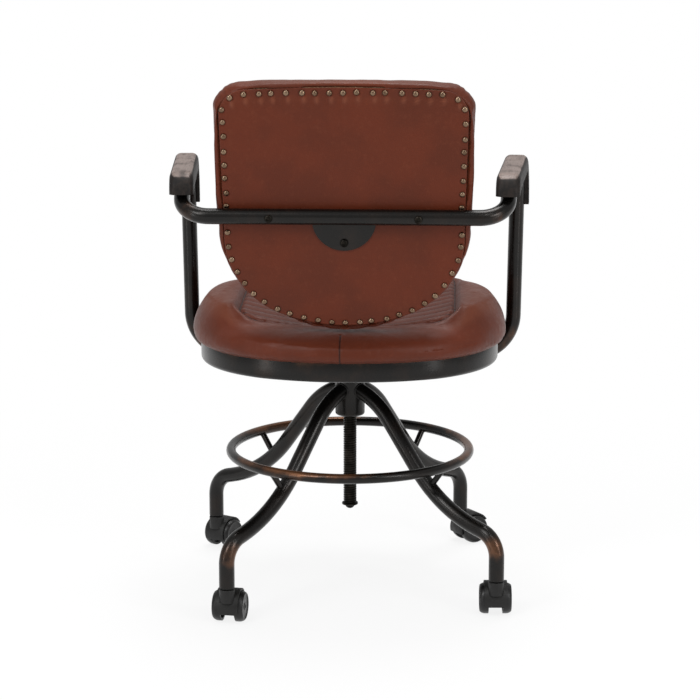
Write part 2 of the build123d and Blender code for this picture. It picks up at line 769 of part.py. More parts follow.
# Arm and back frame: rail, arms, posts and the run under the seat, bent from one length of tube
frame_right_points = [
    (rail_end_x, rail_y, rail_z),
    (arm_rear_x, arm_rear_y, arm_z),
    (post_top_x, post_y, arm_z),
    (post_foot_x, post_y, cross_run_z),
    (frame_end_x, post_y, cross_run_z),
]
frame_left_points = [(-x, y, z) for x, y, z in reversed(frame_right_points)]
frame_right_bends = [rail_bend_r, arm_rear_bend_r, arm_front_bend_r, post_foot_bend_r]
pad_screw_points = []
for screw_y in pad_screw_ys:
    screw_x = post_top_x - (post_y - screw_y) * math.tan(math.radians(arm_splay))
    pad_screw_points += [(-screw_x, screw_y, arm_z), (screw_x, screw_y, arm_z)]
with BuildPart() as arm_frame:
    with BuildLine() as frame_line:
        FilletPolyline(
            *frame_left_points,
            *frame_right_points,
            radius=list(reversed(frame_right_bends)) + frame_right_bends,
        )
    with BuildSketch(Plane(origin=frame_line.line @ 0, z_dir=frame_line.line % 0)):
        Circle(frame_tube_r)
        Circle(frame_tube_r - frame_tube_wall, mode=Mode.SUBTRACT)
    sweep()
    with Locations(*pad_screw_points):
        Cylinder(pad_screw_d / 2, frame_tube_d, mode=Mode.SUBTRACT)
    add(back_screws.part, mode=Mode.SUBTRACT)
save(arm_frame.part, "arm_frame")

# Solid copy of the frame, for coping the pieces that lie against it
with BuildPart() as frame_core:
    with BuildSketch(Plane(origin=frame_line.line @ 0, z_dir=frame_line.line % 0)):
        Circle(frame_tube_r)
    sweep(path=frame_line.line)

# Plugs in the two open ends of the frame
with BuildPart() as tube_plugs:
    for side in (-1, 1):
        with BuildSketch(Plane(origin=(side * frame_end_x, post_y, cross_run_z), z_dir=(side, 0, 0))):
            Circle(frame_tube_r - frame_tube_wall)
        extrude(amount=plug_in)
        with BuildSketch(Plane(origin=(side * frame_end_x, post_y, cross_run_z), z_dir=(-side, 0, 0))):
            Circle(frame_tube_r)
        extrude(amount=plug_h)
save(tube_plugs.part, "tube_plugs")

# Saddle straps that hold the frame's lower run to the pan
with BuildPart() as frame_straps:
    for side in (-1, 1):
        strap_middle = (side * strap_x, post_y, cross_run_z)
        with BuildSketch(Plane(origin=strap_middle, x_dir=(0, 1, 0), z_dir=(1, 0, 0))):
            Circle(frame_tube_r + strap_h)
            with Locations((0, frame_tube_r + cross_run_gap)):
                Rectangle(
                    (frame_tube_r + strap_h) * 2,
                    frame_tube_r + cross_run_gap,
                    align=(Align.CENTER, Align.MAX),
                )
                Rectangle(
                    (frame_tube_r + strap_h + strap_foot) * 2,
                    strap_h,
                    align=(Align.CENTER, Align.MAX),
                )
            Circle(frame_tube_r, mode=Mode.SUBTRACT)
        extrude(amount=strap_w / 2, both=True)
    with Locations((0, 0, pan_bottom_z)):
        with Locations(*strap_bolt_points):
            Cylinder(strap_bolt_d / 2, strap_h, align=hanging, mode=Mode.SUBTRACT)
save(frame_straps.part, "frame_straps")

# Strap bolts, up through the pan into the board
with BuildPart() as strap_bolts:
    with Locations((0, 0, pan_bottom_z - strap_h)):
        with Locations(*strap_bolt_points):
            Cylinder(strap_bolt_head_d / 2, strap_bolt_head_h, align=hanging)
            Cylinder(strap_bolt_d / 2, board_top_z - pan_bottom_z + strap_h, align=base_centring)
save(strap_bolts.part, "strap_bolts")

# Arm pad screws, from under the arms up into the wood
with BuildPart() as arm_pad_screws:
    for screw_point in pad_screw_points:
        with Locations(screw_point):
            with Locations((0, 0, -frame_tube_r)):
                Cylinder(pad_screw_head_d / 2, pad_screw_head_h, align=hanging)
                Cylinder(pad_screw_d / 2, frame_tube_d + pad_screw_bite, align=base_centring)
save(arm_pad_screws.part, "arm_pad_screws")

# Arm pads: shaped wood, its long edges rounded, grooved to sit on the tube
splay = math.radians(arm_splay)
arm_length = (post_y - arm_rear_y) / math.cos(splay)
arm_to_rail = (post_y - rail_y) / math.cos(splay)
pad_rear_x = pad_rear_in - arm_to_rail
front_middle = (-arm_front_bend_r, -arm_front_bend_r)
for side, side_name in ((-1, "left"), (1, "right")):
    arm_direction = Vector(side * math.sin(splay), math.cos(splay), 0)
    arm_plane = Plane(
        origin=(side * post_top_x, post_y, arm_z),
        x_dir=arm_direction,
        z_dir=arm_direction.cross(Vector(0, 0, 1)),
    )
    with BuildPart() as arm_pad:
        with BuildSketch(arm_plane):
            with BuildLine():
                front_top = CenterArc(front_middle, arm_front_bend_r + pad_h, 0, 90)
                front_under = CenterArc(front_middle, arm_front_bend_r, 0, 90)
                Polyline(front_top @ 0, (pad_h, -pad_front_drop), (0, -pad_front_drop), front_under @ 0)
                rear_face = Polyline(
                    front_under @ 1,
                    (-arm_length, 0),
                    (pad_rear_x, -pad_rear_drop),
                    (pad_rear_x, pad_h - pad_rear_r),
                )
                rear_round = TangentArc(rear_face @ 1, (pad_rear_x + pad_rear_r, pad_h), tangent=(0, 1))
                Line(rear_round @ 1, front_top @ 1)
            make_face()
        extrude(amount=pad_w / 2, both=True)
        top_face = arm_pad.faces().sort_by(Axis.Z)[-1]
        fillet(top_face.edges().filter_by(Axis((0, 0, 0), arm_direction)), pad_edge_r)
        add(frame_core.part, mode=Mode.SUBTRACT)
        add(arm_pad_screws.part, mode=Mode.SUBTRACT)
    save(arm_pad.part, "arm_pad_" + side_name)

# Half-round plate under the rail, between the rail and the rear panel
with BuildPart() as back_plate:
    with BuildSketch(back_plane) as plate_face:
        with Locations((0, -half_plate_drop)):
            Circle(half_plate_r)
            Rectangle(half_plate_r * 2, half_plate_r, align=(Align.CENTER, Align.MIN), mode=Mode.SUBTRACT)
    extrude(amount=half_plate_h)
    add(frame_core.part, mode=Mode.SUBTRACT)
    add(back_screws.part, mode=Mode.SUBTRACT)
save(back_plate.part, "back_plate")

# One nail: a low dome, drawn about the origin
with BuildPart() as dome_nail:
    with BuildSketch(Plane.XZ):
        with BuildLine():
            ThreePointArc(
                (0, nail_rise),
                (nail_d / 2 * nail_mid_share, nail_rise * nail_mid_rise_share),
                (nail_d / 2, 0),
            )
            Polyline((nail_d / 2, 0), (0, 0), (0, nail_rise))
        make_face()
    revolve(axis=Axis.Z)

# Back nails: a row of low domes round the rear panel
nail_wire = Wire(back_outline(nail_half_w, nail_top, nail_bottom).edges())
nail_start = nail_wire.param_at_point(Vector(0, -nail_bottom, 0))
with BuildPart() as back_nails:
    for nail_index in range(nail_count):
        nail_point = nail_wire @ ((nail_start + nail_index / nail_count) % 1)
        nail_seat = back_plane.location * Location((nail_point.X, nail_point.Y, 0))
        add(nail_seat * dome_nail.part)
save(back_nails.part, "back_nails")
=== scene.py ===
"""Swivel office chair on a screw spindle: its finished surfaces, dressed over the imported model."""

from __future__ import annotations

import logging
import math
import random
from dataclasses import dataclass, field
from enum import Enum
from functools import partial
from typing import Callable, Sequence

import bmesh
import bpy
from mathutils import Matrix, Vector, kdtree, noise

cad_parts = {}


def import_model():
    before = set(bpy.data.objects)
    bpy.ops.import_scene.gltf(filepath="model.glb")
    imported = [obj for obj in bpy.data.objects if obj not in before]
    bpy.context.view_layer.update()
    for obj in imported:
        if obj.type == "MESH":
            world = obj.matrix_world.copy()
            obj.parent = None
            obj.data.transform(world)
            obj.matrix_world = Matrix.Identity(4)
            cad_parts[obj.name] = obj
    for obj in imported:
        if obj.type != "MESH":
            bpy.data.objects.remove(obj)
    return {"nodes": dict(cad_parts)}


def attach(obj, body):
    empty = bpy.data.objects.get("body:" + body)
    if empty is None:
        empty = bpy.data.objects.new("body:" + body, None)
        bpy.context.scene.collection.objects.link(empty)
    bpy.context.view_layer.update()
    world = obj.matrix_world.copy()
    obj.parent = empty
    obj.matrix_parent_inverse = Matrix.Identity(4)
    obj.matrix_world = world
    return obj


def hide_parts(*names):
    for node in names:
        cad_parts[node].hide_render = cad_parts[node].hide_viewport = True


LOG = logging.getLogger("office_chair")
MM = 0.001
EASED = {"interpolation_type": "SMOOTHSTEP"}  # a mask that starts and ends softly
COLOURS = {"data_type": "RGBA"}
FAR_SEAM_MM = 99.0  # a seam distance that means no seam is near
FULL_TURN = math.tau
RAYS = 180  # directions in which the seat's reach is measured

Socket = bpy.types.NodeSocket
Adder = Callable[..., bpy.types.NodeSocket]
WearAndPaintedLight = Callable[[Vector, Vector], float]


# ---------------------------------------------------------------- colour and nodes


def linear(hex_colour: str) -> tuple[float, float, float, float]:
    """Turn an sRGB hex colour into a linear one.

    Args:
        hex_colour: a colour such as "#5e2d22".

    Returns:
        Linear red, green and blue, and an alpha of 1.
    """
    parts = [int(hex_colour[i : i + 2], 16) / 255 for i in (1, 3, 5)]
    low = [p / 12.92 if p <= 0.04045 else ((p + 0.055) / 1.055) ** 2.4 for p in parts]
    return (low[0], low[1], low[2], 1.0)


def add_node(
    tree: bpy.types.NodeTree,
    kind: str,
    sockets: dict[str | int, object] | Sequence[object] = (),
    out: int | str = 0,
    **settings: object,
) -> Socket | None:
    """Add one shader node with its settings, values and links.

    Args:
        tree: the node tree.
        kind: the node's type name, without the "ShaderNode" in front.
        sockets: for its inputs, in their order or by name, values, hex colours or outputs to link from.
        out: which output to return.
        settings: the node's own properties.

    Returns:
        The output, or None where the node has none.
    """
    node = tree.nodes.new("ShaderNode" + kind)
    for name, value in settings.items():
        setattr(node, name, value)
    for key, value in sockets.items() if isinstance(sockets, dict) else enumerate(sockets):
        if isinstance(value, Socket):
            tree.links.new(value, node.inputs[key])
        else:
            node.inputs[key].default_value = linear(value) if isinstance(value, str) else value
    return node.outputs[out] if node.outputs else None


def blank_nodes(owner: bpy.types.Material | bpy.types.World) -> Adder:
    """Empty a material's or a world's node tree.

    Args:
        owner: the material or world.

    Returns:
        add_node for that tree.
    """
    owner.use_nodes = True
    owner.node_tree.nodes.clear()
    return partial(add_node, owner.node_tree)


def scale(size_mm: float) -> float:
    """The texture scale that draws a pattern of a size in millimetres."""
    return 1 / (size_mm * MM)


def coated(add: Adder, base: str, *coats: tuple[Socket, float, float, float, str]) -> Socket:
    """Lay colours over one another.

    Args:
        add: adds a node to the material.
        base: the lowest colour.
        coats: for each, its mask, where the mask starts and is full, how much it covers, and its colour.

    Returns:
        The finished colour.
    """
    colour: object = base
    for mask, start, full, cover, coat in coats:
        share = add("MapRange", (mask, start, full, 0, cover), **EASED)
        colour = add("Mix", {0: share, 6: colour, 7: coat}, 2, **COLOURS)
    return colour


def relief(add: Adder, *patterns: tuple[Socket, float]) -> Socket:
    """Add up height patterns.

    Args:
        add: adds a node to the material.
        patterns: each pattern with its weight.

    Returns:
        The whole height.
    """
    height: object = 0.0
    for pattern, weight in patterns:
        height = add("Math", (pattern, weight, height), operation="MULTIPLY_ADD")
    return height


# ---------------------------------------------------------------- finishes


class Coating:
    """What every finish shares: an empty material that ends in one principled shader."""

    name: str

    def surface(self, add: Adder, place: Socket) -> dict[str, object]:
        """The shader's inputs.

        Args:
            add: adds a node to the material.
            place: the point's place on the piece.

        Returns:
            Values and sockets by the names of the shader's inputs.
        """
        raise NotImplementedError

    def material(self) -> bpy.types.Material:
        """Build the material."""
        material = bpy.data.materials.new(self.name)
        add = blank_nodes(material)
        shader = add("BsdfPrincipled", self.surface(add, add("TexCoord", out="Object")))
        add("OutputMaterial", {"Surface": shader})
        return material


@dataclass(frozen=True)
class WaxedLeather(Coating):
    """Full grain cowhide, pulled up and waxed: a fine pebble, soft cloudy colour and a broad sheen."""

    name: str = "waxed_cowhide"
    deep: str = "#52210f"
    body: str = "#5a2410"
    # rubbed leather colour, also laid as a painted sheen on the seat's top and as painted highlights on the back's
    # puckers
    rubbed_and_sheen: str = "#6e3a26"
    stitch: str = "#1c0a06"
    cloud_mm: float = 85.0
    mottle_mm: float = 9.0
    pebble_mm: float = 2.4  # real pebble is about 1 mm; drawn coarser so that it shows
    crease_mm: float = 26.0
    wrinkle_mm: float = 15.0
    relief_mm: float = 0.35
    seam_half_mm: float = 1.2
    roughness: float = 0.42

    def surface(self, add: Adder, place: Socket) -> dict[str, object]:
        """Cloudy leather, with stitched lines where the piece's seam attribute nears zero."""
        wear = add("Attribute", out="Fac", attribute_name="wear")
        seam = add("Attribute", out="Fac", attribute_name="seam_mm")
        cloud = add("TexNoise", {"Vector": place, "Scale": scale(self.cloud_mm), "Detail": 4.0})
        mottle = add("TexNoise", {"Vector": place, "Scale": scale(self.mottle_mm), "Detail": 5.0, "Roughness": 0.65})
        from_seam = add("Math", (seam,), operation="ABSOLUTE")
        line = add("MapRange", (from_seam, 0.4 * self.seam_half_mm, 1.6 * self.seam_half_mm, 1, 0), **EASED)
        pebble = add(
            "TexVoronoi",
            {"Vector": place, "Scale": scale(self.pebble_mm), "Randomness": 0.9},
            "Distance",
            feature="DISTANCE_TO_EDGE",
        )
        crease = add(
            "TexNoise",
            {"Vector": place, "Scale": scale(self.crease_mm), "Detail": 6.0, "Roughness": 0.6, "Distortion": 1.4},
        )
        wrinkle = add(
            "TexNoise",
            {"Vector": place, "Scale": scale(self.wrinkle_mm), "Detail": 3.0, "Distortion": 0.6},
            noise_type="RIDGED_MULTIFRACTAL",
        )
        grain = add("MapRange", (pebble, 0.0, 0.25, 0, 1), **EASED)
        creased = add("Math", (wrinkle, wear), operation="MULTIPLY")
        height = relief(add, (grain, 0.22), (creased, -1.1), (crease, 1.6), (line, -2.5))
        return {
            "Base Color": coated(
                add,
                self.deep,
                (cloud, 0.36, 0.62, 1, self.body),
                (mottle, 0.50, 0.78, 0.22, self.rubbed_and_sheen),
                # the piece's wear attribute is partly rubbing and partly painted light: a painted sheen on the
                # seat's top, painted highlights on the back's puckers
                (wear, 0, 1, 0.75, self.rubbed_and_sheen),
                (line, 0, 1, 0.8, self.stitch),
            ),
            "Roughness": add("MapRange", (mottle, 0.3, 0.7, self.roughness - 0.05, self.roughness + 0.09), **EASED),
            "IOR": 1.48,
            "Normal": add("Bump", {"Strength": 0.55, "Distance": self.relief_mm * MM, "Height": height}),
            "Specular IOR Level": 0.2,
            "Sheen Weight": 0.05,
            "Sheen Roughness": 0.5,
        }


@dataclass(frozen=True)
class RubbedBronze(Coating):
    """Black bronze lacquer on steel tube: near black, rubbed through to copper where hands and feet go; the copper
    also paints highlights on the knees, the foot ring's top and the rail's bends.
    """

    name: str = "rubbed_and_sheen_bronze_lacquer"
    dark: str = "#12100e"
    brown: str = "#2a1f18"
    # copper where the lacquer is rubbed through, also used as painted copper highlights
    copper_and_glint: str = "#85583a"
    fleck: str = "#3c332b"
    patch_mm: float = 46.0
    fleck_mm: float = 3.0
    roughness: float = 0.29

    def surface(self, add: Adder, place: Socket) -> dict[str, object]:
        """Patchy lacquer; the piece's wear and painted light attribute says how far it is rubbed through, and where
        copper highlights are painted.
        """
        wear = add("Attribute", out="Fac", attribute_name="wear")
        patch = add("TexNoise", {"Vector": place, "Scale": scale(self.patch_mm), "Detail": 5.0, "Roughness": 0.6})
        fleck = add("TexNoise", {"Vector": place, "Scale": scale(self.fleck_mm), "Detail": 3.0})
        worn_and_glint = add("Math", (wear, patch), operation="MULTIPLY")
        return {
            "Base Color": coated(
                add,
                self.dark,
                (patch, 0.42, 0.75, 0.55, self.brown),
                (worn_and_glint, 0.18, 0.50, 0.9, self.copper_and_glint),
                (fleck, 0.60, 0.72, 0.1, self.fleck),
            ),
            "Metallic": 0.72,
            "Roughness": add("MapRange", (fleck, 0.3, 0.7, self.roughness - 0.02, self.roughness + 0.04), **EASED),
            "Normal": add("Bump", {"Strength": 0.1, "Distance": 0.12 * MM, "Height": fleck}),
            "Coat Weight": 0.25,
            "Coat Roughness": 0.25,
        }


@dataclass(frozen=True)
class MachinedSteel(Coating):
    """Turned steel left dark by oil: fine tool marks, a low shine and oily patches."""

    name: str = "oiled_turned_steel"
    dark: str = "#15130f"
    bright: str = "#2b2722"
    patch_mm: float = 14.0
    mark_mm: float = 1.6
    metallic: float = 0.9
    roughness: float = 0.3

    def surface(self, add: Adder, place: Socket) -> dict[str, object]:
        """Oily patches over fine tool marks."""
        patch = add("TexNoise", {"Vector": place, "Scale": scale(self.patch_mm), "Detail": 5.0})
        mark = add("TexNoise", {"Vector": place, "Scale": scale(self.mark_mm), "Detail": 2.0})
        return {
            "Base Color": coated(add, self.dark, (patch, 0.4, 0.7, 1, self.bright)),
            "Metallic": self.metallic,
            "Roughness": add("MapRange", (patch, 0.3, 0.7, self.roughness + 0.1, self.roughness - 0.04), **EASED),
            "Normal": add("Bump", {"Strength": 0.2, "Distance": 0.08 * MM, "Height": mark}),
        }


@dataclass(frozen=True)
class MouldedNylon(Coating):
    """Black glass filled nylon: a fine spark eroded texture, grey scuffs where it has been kicked."""

    name: str = "moulded_black_nylon"
    body: str = "#100f0e"
    scuff: str = "#2f2c2a"
    texture_mm: float = 1.4
    scuff_mm: float = 12.0
    roughness: float = 0.46

    def surface(self, add: Adder, place: Socket) -> dict[str, object]:
        """Scuffs over an even grain."""
        grain = add("TexNoise", {"Vector": place, "Scale": scale(self.texture_mm), "Detail": 2.0})
        scuff = add("TexNoise", {"Vector": place, "Scale": scale(self.scuff_mm), "Detail": 7.0, "Roughness": 0.7})
        return {
            "Base Color": coated(add, self.body, (scuff, 0.58, 0.74, 0.6, self.scuff)),
            "Roughness": add("MapRange", (scuff, 0.35, 0.7, self.roughness - 0.05, self.roughness + 0.15), **EASED),
            "IOR": 1.53,
            "Specular IOR Level": 0.35,
            "Normal": add("Bump", {"Strength": 0.3, "Distance": 0.1 * MM, "Height": grain}),
        }


@dataclass(frozen=True)
class StainedWood(Coating):
    """Dark stained hardwood, bare on top: grain along the arm, greyed and polished by hands, the grey on top also a
    painted sheen.
    """

    name: str = "stained_arm_wood"
    stain: str = "#0f0b09"
    mid: str = "#221a16"
    # grey of the weathered top, which also stands for a painted sheen there
    grey_and_sheen: str = "#8f7f78"
    pore: str = "#150f0c"
    ring_mm: float = 9.6
    pore_mm: float = 1.3
    patch_mm: float = 38.0
    stretch: float = 0.06
    roughness: float = 0.48

    def surface(self, add: Adder, place: Socket) -> dict[str, object]:
        """Grain along Y; the piece's wear and painted light attribute greys the top, as weathering and as a painted
        sheen.
        """
        wear = add("Attribute", out="Fac", attribute_name="wear")
        along = add("Mapping", {"Vector": place, "Scale": (1.0, self.stretch, 1.0)})
        ring = add(
            "TexNoise",
            {"Vector": along, "Scale": scale(self.ring_mm), "Detail": 6.0, "Roughness": 0.62, "Distortion": 0.8},
        )
        pore = add("TexNoise", {"Vector": along, "Scale": scale(self.pore_mm), "Detail": 3.0})
        patch = add("TexNoise", {"Vector": place, "Scale": scale(self.patch_mm), "Detail": 4.0})
        rubbed_and_sheen = add("Math", (wear, patch), operation="MULTIPLY")
        rubbed_and_sheen = add("Math", (ring, 0.35, rubbed_and_sheen), operation="MULTIPLY_ADD")
        height = relief(add, (pore, -1.0), (ring, 0.8))
        return {
            "Base Color": coated(
                add,
                self.stain,
                (ring, 0.38, 0.64, 1, self.mid),
                (rubbed_and_sheen, 0.30, 0.72, 0.85, self.grey_and_sheen),
                (pore, 0.56, 0.66, 0.5, self.pore),
            ),
            "Roughness": add("MapRange", (rubbed_and_sheen, 0.3, 0.8, self.roughness + 0.08, self.roughness - 0.06), **EASED),
            "IOR": 1.5,
            "Specular IOR Level": 0.25,
            "Normal": add("Bump", {"Strength": 0.5, "Distance": 0.25 * MM, "Height": height}),
        }


@dataclass(frozen=True)
class AntiqueBrass(Coating):
    """Stamped brass left to tarnish: warm on the crown, brown at the rim, each nail a little different."""

    name: str = "antiqued_brass"
    crown: str = "#86705c"
    tarnish: str = "#453022"
    rim: str = "#2c1d13"
    nail_mm: float = 17.0
    speck_mm: float = 1.8
    roughness: float = 0.22

    def surface(self, add: Adder, place: Socket) -> dict[str, object]:
        """A tone for each nail, a brown rim where the piece's wear attribute says so, and specks."""
        wear = add("Attribute", out="Fac", attribute_name="wear")
        each = add("TexNoise", {"Vector": place, "Scale": scale(self.nail_mm), "Detail": 1.0})
        speck = add("TexNoise", {"Vector": place, "Scale": scale(self.speck_mm), "Detail": 4.0})
        return {
            "Base Color": coated(
                add,
                self.crown,
                (each, 0.35, 0.68, 0.55, self.tarnish),
                (wear, 0.3, 1.0, 0.85, self.rim),
                (speck, 0.55, 0.7, 0.4, self.tarnish),
            ),
            "Metallic": 1.0,
            "Roughness": add("MapRange", (speck, 0.3, 0.7, self.roughness, self.roughness + 0.15), **EASED),
            "Normal": add("Bump", {"Strength": 0.2, "Distance": 0.1 * MM, "Height": speck}),
        }


@dataclass(frozen=True)
class BirchPlywood(Coating):
    """Raw birch plywood, seen only from underneath or inside: pale, with a faint flat-sawn figure."""

    name: str = "raw_birch_plywood"
    pale: str = "#b99f78"
    line: str = "#957a54"
    figure_mm: float = 11.0
    stretch: float = 0.08

    def surface(self, add: Adder, place: Socket) -> dict[str, object]:
        """A faint figure along Y."""
        along = add("Mapping", {"Vector": place, "Scale": (1.0, self.stretch, 1.0)})
        figure = add(
            "TexNoise", {"Vector": along, "Scale": scale(self.figure_mm), "Detail": 6.0, "Distortion": 1.0}
        )
        return {"Base Color": coated(add, self.pale, (figure, 0.4, 0.65, 1, self.line)), "Roughness": 0.7}


class Finish(Enum):
    """Every finish on the chair, by the record's material slot."""

    DARK_METAL = ("dark_metal", RubbedBronze())
    SCREW_STEEL = ("screw_steel", MachinedSteel())
    CAST_PLATE = ("cast_plate", MachinedSteel("painted_casting", "#141312", "#262422", metallic=0.2, roughness=0.55))
    CASTOR_PLASTIC = ("castor_plastic", MouldedNylon())
    WHEEL_PLASTIC = ("wheel_plastic", MouldedNylon("polished_wheel_nylon", "#121111", "#2e2c2b", roughness=0.34))
    BOARD = ("board", BirchPlywood())
    LEATHER = ("leather", WaxedLeather())
    NAIL_BRASS = ("nail_brass", AntiqueBrass())
    ARM_WOOD = ("arm_wood", StainedWood())

    @property
    def slot(self) -> str:
        """The record's material slot for this finish."""
        return self.value[0]

    def material(self) -> bpy.types.Material:
        """The finish's material, built once and then shared."""
        recipe = self.value[1]
        return bpy.data.materials.get(recipe.name) or recipe.material()


# ---------------------------------------------------------------- shared mesh work


def hill(value: float, middle: float, width: float) -> float:
    """A smooth bump: 1 at its middle, fading over its width."""
    return math.exp(-(((value - middle) / width) ** 2))


def smooth_share(value: float, low: float, high: float) -> float:
    """How far a value is from low to high, 0 to 1, eased at both ends."""
    share = max(0.0, min(1.0, (value - low) / (high - low)))
    return share * share * (3 - 2 * share)


def quarter(radius: float, height: float, steps: int) -> list[tuple[float, float]]:
    """Points of a quarter of an ellipse, from its side at (radius, 0) to its top at (0, height)."""
    turns = [math.pi / 2 * i / steps for i in range(steps + 1)]
    return [(radius * math.cos(t), height * math.sin(t)) for t in turns]


def smooth_faces(mesh: bpy.types.Mesh, finish: Finish) -> None:
    """Shade a mesh smoothly in one finish."""
    mesh.polygons.foreach_set("use_smooth", [True] * len(mesh.polygons))
    mesh.materials.clear()
    mesh.materials.append(finish.material())


def enrol(piece: bpy.types.Object, node: str, finish: Finish, body: str) -> None:
    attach(piece, body)
    finish.slot
    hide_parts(node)
    LOG.info("%s: %d faces on %s", piece.name, len(piece.data.polygons), body)


def finish_piece(
    bm: bmesh.types.BMesh,
    node: str,
    form: str,
    finish: Finish,
    body: str = "seat",
    sharp_deg: float = 40.0,
    wear: WearAndPaintedLight | None = None,
) -> bpy.types.Object:
    """Turn a bmesh into a finished piece that stands for a CAD node.

    Args:
        bm: the mesh, in metres and in place; it is freed here.
        node: the CAD node.
        form: what the piece is, the end of its name.
        finish: its surface finish.
        body: the CAD body that it moves with.
        sharp_deg: edges that turn by more than this stay crisp.
        wear: gives how worn a vertex is and how much light is painted on it, 0 to 1, from its place and normal.

    Returns:
        The piece's object.
    """
    bmesh.ops.remove_doubles(bm, verts=bm.verts, dist=1e-6)
    bmesh.ops.recalc_face_normals(bm, faces=bm.faces)
    bm.normal_update()
    layer = bm.verts.layers.float.new("wear")
    for vert in bm.verts:
        vert[layer] = wear(vert.co, vert.normal) if wear else 0.0
    name = f"{node}_{form}"
    mesh = bpy.data.meshes.new(name)
    bm.to_mesh(mesh)
    bm.free()
    smooth_faces(mesh, finish)
    mesh.set_sharp_from_angle(angle=math.radians(sharp_deg))
    piece = bpy.data.objects.new(name, mesh)
    bpy.context.scene.collection.objects.link(piece)
    enrol(piece, node, finish, body)
    return piece


def eased_node(
    node: str, form: str, finish: Finish, width: float = 0.0, body: str = "seat", wear: WearAndPaintedLight | None = None
) -> None:
    """Dress a CAD node in its own shape: its triangles joined up, its flats melted, its edges eased.

    Args:
        node: the CAD node.
        form: what the piece is, the end of its name.
        finish: its surface finish.
        width: how far its sharp edges are eased, in millimetres.
        body: the CAD body that it moves with.
        wear: gives how worn a vertex is and how much light is painted on it.
    """
    bm = bmesh.new()
    bm.from_mesh(FRAME["nodes"][node].data)
    bmesh.ops.remove_doubles(bm, verts=bm.verts, dist=2e-6)
    bmesh.ops.dissolve_limit(
        bm, angle_limit=math.radians(0.6), use_dissolve_boundaries=False, verts=bm.verts, edges=bm.edges
    )
    if width:
        eased(bm, width)
    finish_piece(bm, node, form, finish, body, wear=wear)


def turned_piece(
    node: str,
    form: str,
    finish: Finish,
    body: str,
    section: Sequence[tuple[float, float]],
    place: Matrix = Matrix.Identity(4),
    steps: int = 48,
    closed: bool = True,
    wear: WearAndPaintedLight | None = None,
) -> None:
    """Make a piece that is one turned shape.

    Args:
        node: the CAD node that it stands for.
        form: what the piece is, the end of its name.
        finish: its surface finish.
        body: the CAD body that it moves with.
        section: the points of the half section, (radius, height) in millimetres.
        place: where the turning axis is.
        steps: how many steps make the full turn.
        closed: join the section's last point to the first.
        wear: gives how worn a vertex is and how much light is painted on it.
    """
    bm = bmesh.new()
    turned(bm, section, place, steps, closed)
    finish_piece(bm, node, form, finish, body, wear=wear)


def grown_ring(
    bm: bmesh.types.BMesh, edges: Sequence[bmesh.types.BMEdge]
) -> tuple[list[bmesh.types.BMVert], list[bmesh.types.BMEdge]]:
    """Extrude a ring of edges in place.

    Args:
        bm: the mesh.
        edges: the ring.

    Returns:
        The new ring's vertices and edges.
    """
    made = bmesh.ops.extrude_edge_only(bm, edges=edges)["geom"]
    verts = [g for g in made if isinstance(g, bmesh.types.BMVert)]
    ring = set(verts)
    return verts, [g for g in made if isinstance(g, bmesh.types.BMEdge) and ring.issuperset(g.verts)]


def turned(
    bm: bmesh.types.BMesh,
    profile: Sequence[tuple[float, float]],
    place: Matrix = Matrix.Identity(4),
    steps: int = 48,
    closed: bool = False,
) -> None:
    """Spin a half section about the Z axis of a placement.

    Args:
        bm: the mesh to add to.
        profile: the section's points, (radius, height) in millimetres.
        place: where the turning axis is.
        steps: how many steps make the full turn.
        closed: join the last point to the first.
    """
    before = set(bm.verts)
    verts = [bm.verts.new((r * MM, 0, z * MM)) for r, z in profile]
    pairs = list(zip(verts, verts[1:])) + ([(verts[-1], verts[0])] if closed else [])
    edges = [bm.edges.new(pair) for pair in pairs]
    bmesh.ops.spin(
        bm, geom=verts + edges, cent=(0, 0, 0), axis=(0, 0, 1), angle=FULL_TURN, steps=steps, use_merge=True
    )
    bmesh.ops.remove_doubles(bm, verts=[v for v in bm.verts if v not in before], dist=1e-6)
    bmesh.ops.transform(bm, matrix=place, verts=[v for v in bm.verts if v not in before])


def rounded(profile: Sequence[tuple[float, float]], radius: float, steps: int = 4) -> list[tuple[float, float]]:
    """Round the inner corners of a half section.

    Args:
        profile: points of the section in millimetres.
        radius: the corner radius, made less on short runs.
        steps: points in each corner less one.

    Returns:
        The section with each inner corner replaced by a short arc.
    """
    out = [profile[0]]
    for before, corner, after in zip(profile, profile[1:], profile[2:]):
        a, c, b = Vector(before), Vector(corner), Vector(after)
        back, ahead = a - c, b - c
        reach = min(radius, back.length * 0.45, ahead.length * 0.45)
        start, end = c + back.normalized() * reach, c + ahead.normalized() * reach
        for i in range(steps + 1):
            t = i / steps
            point = start.lerp(c, t).lerp(c.lerp(end, t), t)
            out.append((point.x, point.y))
    out.append(profile[-1])
    return out


